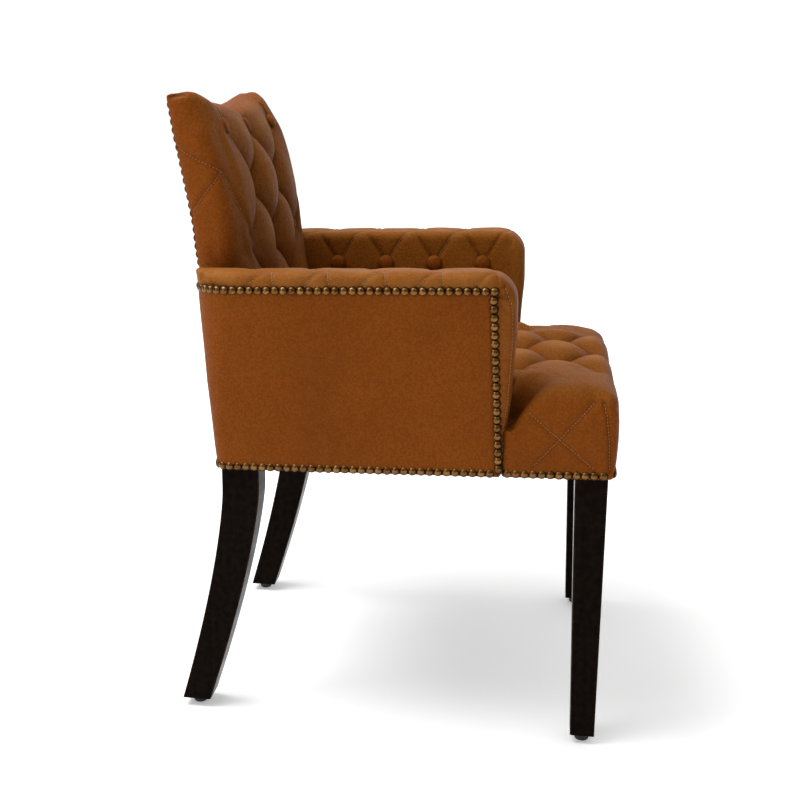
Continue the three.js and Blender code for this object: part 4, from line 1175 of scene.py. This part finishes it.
class Skin:
    """A finished piece's outer points, looked up by two of the values stored on them."""

    def __init__(self, obj, first, second, wanted):
        chosen = np.flatnonzero(wanted)
        self.points = points_of(obj)[chosen]
        self.normals = normals_of(obj)[chosen]
        self.flat = np.stack([get_value(obj, first), get_value(obj, second)], 1)[chosen]

    def at(self, places):
        """Point and normal at each flat place, from the nearest few points."""
        found = []
        for place in np.asarray(places, float):
            far = ((self.flat - place) ** 2).sum(1)
            near = np.argpartition(far, SKIN_NEAREST)[:SKIN_NEAREST]
            weight = 1 / (far[near] + 0.4)
            point = (self.points[near] * weight[:, None]).sum(0) / weight.sum()
            normal = (self.normals[near] * weight[:, None]).sum(0)
            found.append((point, normal / np.linalg.norm(normal)))
        return found

    def button(self, place):
        """A button's centre and a normal averaged over the leather round it."""
        far = ((self.flat - np.asarray(place, float)) ** 2).sum(1)
        normal = self.normals[far < 22 ** 2].mean(0)
        point = self.points[far < 4 ** 2].mean(0)
        return point, normal / np.linalg.norm(normal)


def covered_buttons(name, places, size=1):
    profile = [(radius * size, height) for radius, height in BUTTON_PROFILE]
    shown_for(domes(name, places, profile, 20, LEATHER, "fold", BUTTON_FOOT_SHADE), "leather")


SEAT_FRONT_UPPER, SEAT_FRONT_LOWER = (-322, -363), (-363, -402)
SEAT_STITCH_HALF = 262
ARM_BUTTON_RISE = 6.5
ARM_BUTTON_SIZE = 1.12
STITCH_PITCH = 4.4
STITCH_LENGTH = 3.1
STITCH_RADIUS = 0.5
STITCH_LIFT = 0.25
# Each ring's place along a stitch, and the share of its radius.
STITCH_RINGS = ((-0.5, 0.45), (-0.3, 1), (0.3, 1), (0.5, 0.45))


def stitched(name, runs):
    """Lines of separate stitches lying on the leather. Each run is a list of (point, normal)."""
    points, faces = [], []
    for run in runs:
        middle = np.array([place[0] for place in run])
        normal = np.array([place[1] for place in run])
        along = np.gradient(middle, axis=0)
        along /= np.linalg.norm(along, axis=1, keepdims=True)
        side = np.cross(normal, along)
        side /= np.linalg.norm(side, axis=1, keepdims=True)
        up = np.cross(along, side)
        for c, a, s, n in zip(middle, along, side, up):
            faces += capped(len(points), len(STITCH_RINGS), 6)
            for step, size in STITCH_RINGS:
                for turn in np.arange(6) * math.pi / 3:
                    ring = (s * math.cos(turn) + n * math.sin(turn)) * STITCH_RADIUS * size
                    points.append(c + n * STITCH_LIFT + a * STITCH_LENGTH * step + ring)
    shown_for(make_mesh(name, points, faces, THREAD), "leather")


def along_line(skin, ends):
    a, b = np.asarray(ends, float)
    count = max(2, int(np.linalg.norm(b - a) / STITCH_PITCH))
    return skin.at(a + (b - a) * ((np.arange(count) + 0.5) / count)[:, None])


def seat_trimmings():
    outer, side, ahead, share = get_values(SEAT, "outer side ahead share")
    seat_top = Skin(SEAT, "u", "v", (share > 0.05) & (outer > 0.9))
    covered_buttons("seat_buttons", [seat_top.button(place) for place in SEAT_LATTICE.buttons(range(1, 8))])
    x = points_of(SEAT)[:, 0]
    runs = []
    for here in (x > 0, x < 0):
        flank = Skin(SEAT, "y0", "z0", (side > 0.3) & here)
        runs += [along_line(flank, ends) for ends in SEAT_SIDE_LINES + SEAT_CORNER_SEAM]

    # The lattice's folds carry on down the front as stitched diamonds, in two lengths each.
    front = Skin(SEAT, "u", "v", ahead > 0.3)
    for first in (-280, -140, 0, 140):
        for leans_right in (True, False):
            for span in (SEAT_FRONT_UPPER, SEAT_FRONT_LOWER):
                ends = []
                for v in span:
                    shift = (SEAT_LATTICE.v0 - v) / SEAT_LATTICE.b * SEAT_LATTICE.a
                    ends.append((first + (shift if leans_right else 2 * SEAT_LATTICE.a - shift), v))
                if max(abs(u) for u, v in ends) < SEAT_STITCH_HALF:
                    runs.append(along_line(front, ends))
    stitched("seat_stitches", runs)


def back_trimmings():
    outer = get_value(BACK, "outer") > 0.9
    front = Skin(BACK, "u", "v", outer & (get_value(BACK, "front") > 0.2))
    places = []
    for u, v in BACK_LATTICE.buttons(range(5)):
        point, normal = front.button((u, v))
        proud = 3 if v == BACK_LATTICE.v_high else 0
        places.append((point + normal * proud, normal))
    covered_buttons("back_buttons", places)
    x = points_of(BACK)[:, 0]
    away = normals_of(BACK)[:, 1]
    runs = []
    for sign in (1, -1):
        flank = Skin(BACK, "u", "v", outer & (sign * x > 100) & (away < 0.6))
        for (u0, v0), (u1, v1) in BACK_SIDE_STITCHES:
            runs.append(along_line(flank, ((sign * u0, v0), (sign * u1, v1))))
    stitched("back_stitches", runs)


def arm_trimmings():
    z0, outside = get_values(ARM_LEFT, "z0 outside")
    skin = Skin(ARM_LEFT, "u", "v", z0 > SOFT_BOTTOM + 2)
    spots = [(y, ARM_BUTTON_ROW) for y in ARM_BUTTONS[1:5]]
    spots += [(y + 42, ARM_LOWER_ROW) for y in ARM_BUTTONS[1:4]]
    inward = np.array([-1, 0, 0.03])
    places = [(skin.button(spot)[0] + ARM_BUTTON_RISE * inward, inward) for spot in spots]
    on_pad = [(a, b) for a, b in ARM_SEAMS if min(a[0], b[0]) > -140 and max(a[0], b[0]) < 215]
    runs = [along_line(skin, ends) for ends in on_pad]
    outer_skin = Skin(ARM_LEFT, "yr", "zr", outside > 0.9)
    runs += [along_line(outer_skin, ends) for ends in ARM_FRONT_SEAM]
    covered_buttons("arm_buttons_left", places, ARM_BUTTON_SIZE)
    covered_buttons("arm_buttons_right", mirrored(places), ARM_BUTTON_SIZE)
    stitched("arm_stitches_left", runs)
    stitched("arm_stitches_right", [mirrored(run) for run in runs])


seat_trimmings()
back_trimmings()
arm_trimmings()


# ---- Legs ----

LEG_BEVEL = 2.2
LEG_FOOT = 13
BEVEL_STEPS = 4
TAPER_TOP = 385                             # where the front leg starts to taper
SWEEP_TOP = 345                             # where the rear leg starts to sweep back


def loft(name, node, heights, outline):
    """A leg through bevelled rectangles. outline(z) gives its x0, x1, y0 and y1."""
    points, edge = [], []
    for z in heights:
        x0, x1, y0, y1 = outline(z)
        corners = ((x1, y0), (x1, y1), (x0, y1), (x0, y0))
        for number, (x, y) in enumerate(corners):
            x += LEG_BEVEL if x == x0 else -LEG_BEVEL
            y += LEG_BEVEL if y == y0 else -LEG_BEVEL
            for k in range(BEVEL_STEPS + 1):
                turn = (number - 1 + k / BEVEL_STEPS) * math.pi / 2
                points.append((x + LEG_BEVEL * math.cos(turn), y + LEG_BEVEL * math.sin(turn), z))
                edge.append(1.0 if 0 < k < BEVEL_STEPS else 0.25)
    obj = make_mesh(name, points, capped(0, len(heights), 4 * (BEVEL_STEPS + 1)), LACQUER)
    obj.data.shade_flat()
    set_value(obj, "edge", edge)
    other = mirror_of(obj, name.replace("left", "right"))
    shown_for(obj, "leg_lacquer", node)
    shown_for(other, "leg_lacquer", node.replace("left", "right"))


def front_leg(z):
    """Square, and tapered towards its foot, mostly on its inner sides."""
    taper = max(0, (TAPER_TOP - z) / (TAPER_TOP - LEG_FOOT))
    return 216 + 5 * taper, 261 - 3 * taper, -304, -260 - 10 * taper


def rear_leg(z):
    """Swept back in a curve, and a little thinner towards its foot."""
    sweep = max(0, (SWEEP_TOP - z) / (SWEEP_TOP - LEG_FOOT))
    rear = 235.5 + 70 * sweep ** 1.4
    return 196, 240, rear - 54 + 11.5 * sweep, rear


loft("front_leg_wood_left", "front_leg_left", [LEG_FOOT, *range(20, 456, 29), 455], front_leg)
loft("rear_leg_wood_left", "rear_leg_left", [LEG_FOOT, *range(22, 444, 11), 444], rear_leg)


# ---- Camera, lights and floor ----

CAMERA_PLACE = (-1.80145, -0.20535, 0.89692)
CAMERA_YAW, CAMERA_PITCH = 9.12, 14.09
AIM = Vector((0, 0, 0.5))
LIGHTS = (("key", (-2.6, 1.7, 1.4), 1.6, 15), ("over", (-0.3, 1.1, 2.7), 1.8, 79))
WALL_DIM = 0.16
# The world's axis, where its light starts to rise and is full, and how bright it gets.
WALL_RAMPS = (("X", 0.25, 0.87, 1.05), ("Z", 0.2, 0.9, 0.85))
FLOOR_REACH = 9000


def add_camera(scene):
    data = bpy.data.cameras.new("camera")
    data.lens = 53.25
    data.sensor_width = 36
    data.shift_x = 0.0588
    data.shift_y = -0.0107
    camera = bpy.data.objects.new("camera", data)
    scene.collection.objects.link(camera)
    yaw, pitch = math.radians(CAMERA_YAW), math.radians(CAMERA_PITCH)
    ahead = Vector((math.cos(yaw) * math.cos(pitch), math.sin(yaw) * math.cos(pitch), -math.sin(pitch)))
    right = Vector((math.sin(yaw), -math.cos(yaw), 0))
    turn = Matrix((right, right.cross(ahead), -ahead)).transposed()
    camera.matrix_world = Matrix.Translation(CAMERA_PLACE) @ turn.to_4x4()
    scene.camera = camera


def add_world(scene):
    """A white backdrop behind the chair and over the floor, and dimmer walls on the camera's side."""
    world = bpy.data.worlds.new("studio")
    world.use_nodes = True
    nodes, links = world.node_tree.nodes, world.node_tree.links
    parts = nodes.new("ShaderNodeSeparateXYZ")
    links.new(nodes.new("ShaderNodeTexCoord").outputs["Generated"], parts.inputs["Vector"])
    brighter = nodes.new("ShaderNodeMath")
    brighter.operation = "MAXIMUM"
    for number, (axis, start, end, high) in enumerate(WALL_RAMPS):
        ramp = nodes.new("ShaderNodeMapRange")
        links.new(parts.outputs[axis], ramp.inputs["Value"])
        values = {"From Min": start, "From Max": end, "To Min": WALL_DIM, "To Max": high}
        for socket, value in values.items():
            ramp.inputs[socket].default_value = value
        links.new(ramp.outputs["Result"], brighter.inputs[number])
    links.new(brighter.outputs[0], nodes["Background"].inputs["Strength"])
    nodes["Background"].inputs["Color"].default_value = (1, 1, 1, 1)
    scene.world = world


def add_lights(scene):
    for name, place, size, power in LIGHTS:
        data = bpy.data.lights.new(name, "AREA")
        data.size = size
        data.energy = power
        light = bpy.data.objects.new(name, data)
        light.location = place
        light.rotation_euler = (AIM - Vector(place)).to_track_quat("-Z", "Y").to_euler()
        scene.collection.objects.link(light)


def pale_floor():
    """Near white, with a slight glow that grows away from the chair."""
    s = Shader("pale_floor")
    cloudy = s.mix(s.noise(2, 2), (0.86, 0.86, 0.86, 1), (0.92, 0.92, 0.92, 1))
    away = s.node("VectorMath", {0: s.place}, operation="LENGTH").outputs["Value"]
    s.surface.inputs["Emission Color"].default_value = (1, 1, 1, 1)
    s.links.new(s.span(away, 0.6, 3.5, 0.28, 0.72), s.surface.inputs["Emission Strength"])
    return s.finish(cloudy, s.span(s.noise(9), 0, 1, 0.6, 0.8))


def add_floor():
    corners = [(FLOOR_REACH * x, FLOOR_REACH * y, 0) for x, y in ((-1, -1), (1, -1), (1, 1), (-1, 1))]
    floor = make_mesh("floor", corners, [(0, 1, 2, 3)], pale_floor())
    floor.data.shade_flat()


add_camera(bpy.context.scene)
add_world(bpy.context.scene)
add_lights(bpy.context.scene)
add_floor()
bpy.context.scene.view_settings.view_transform = "Standard"
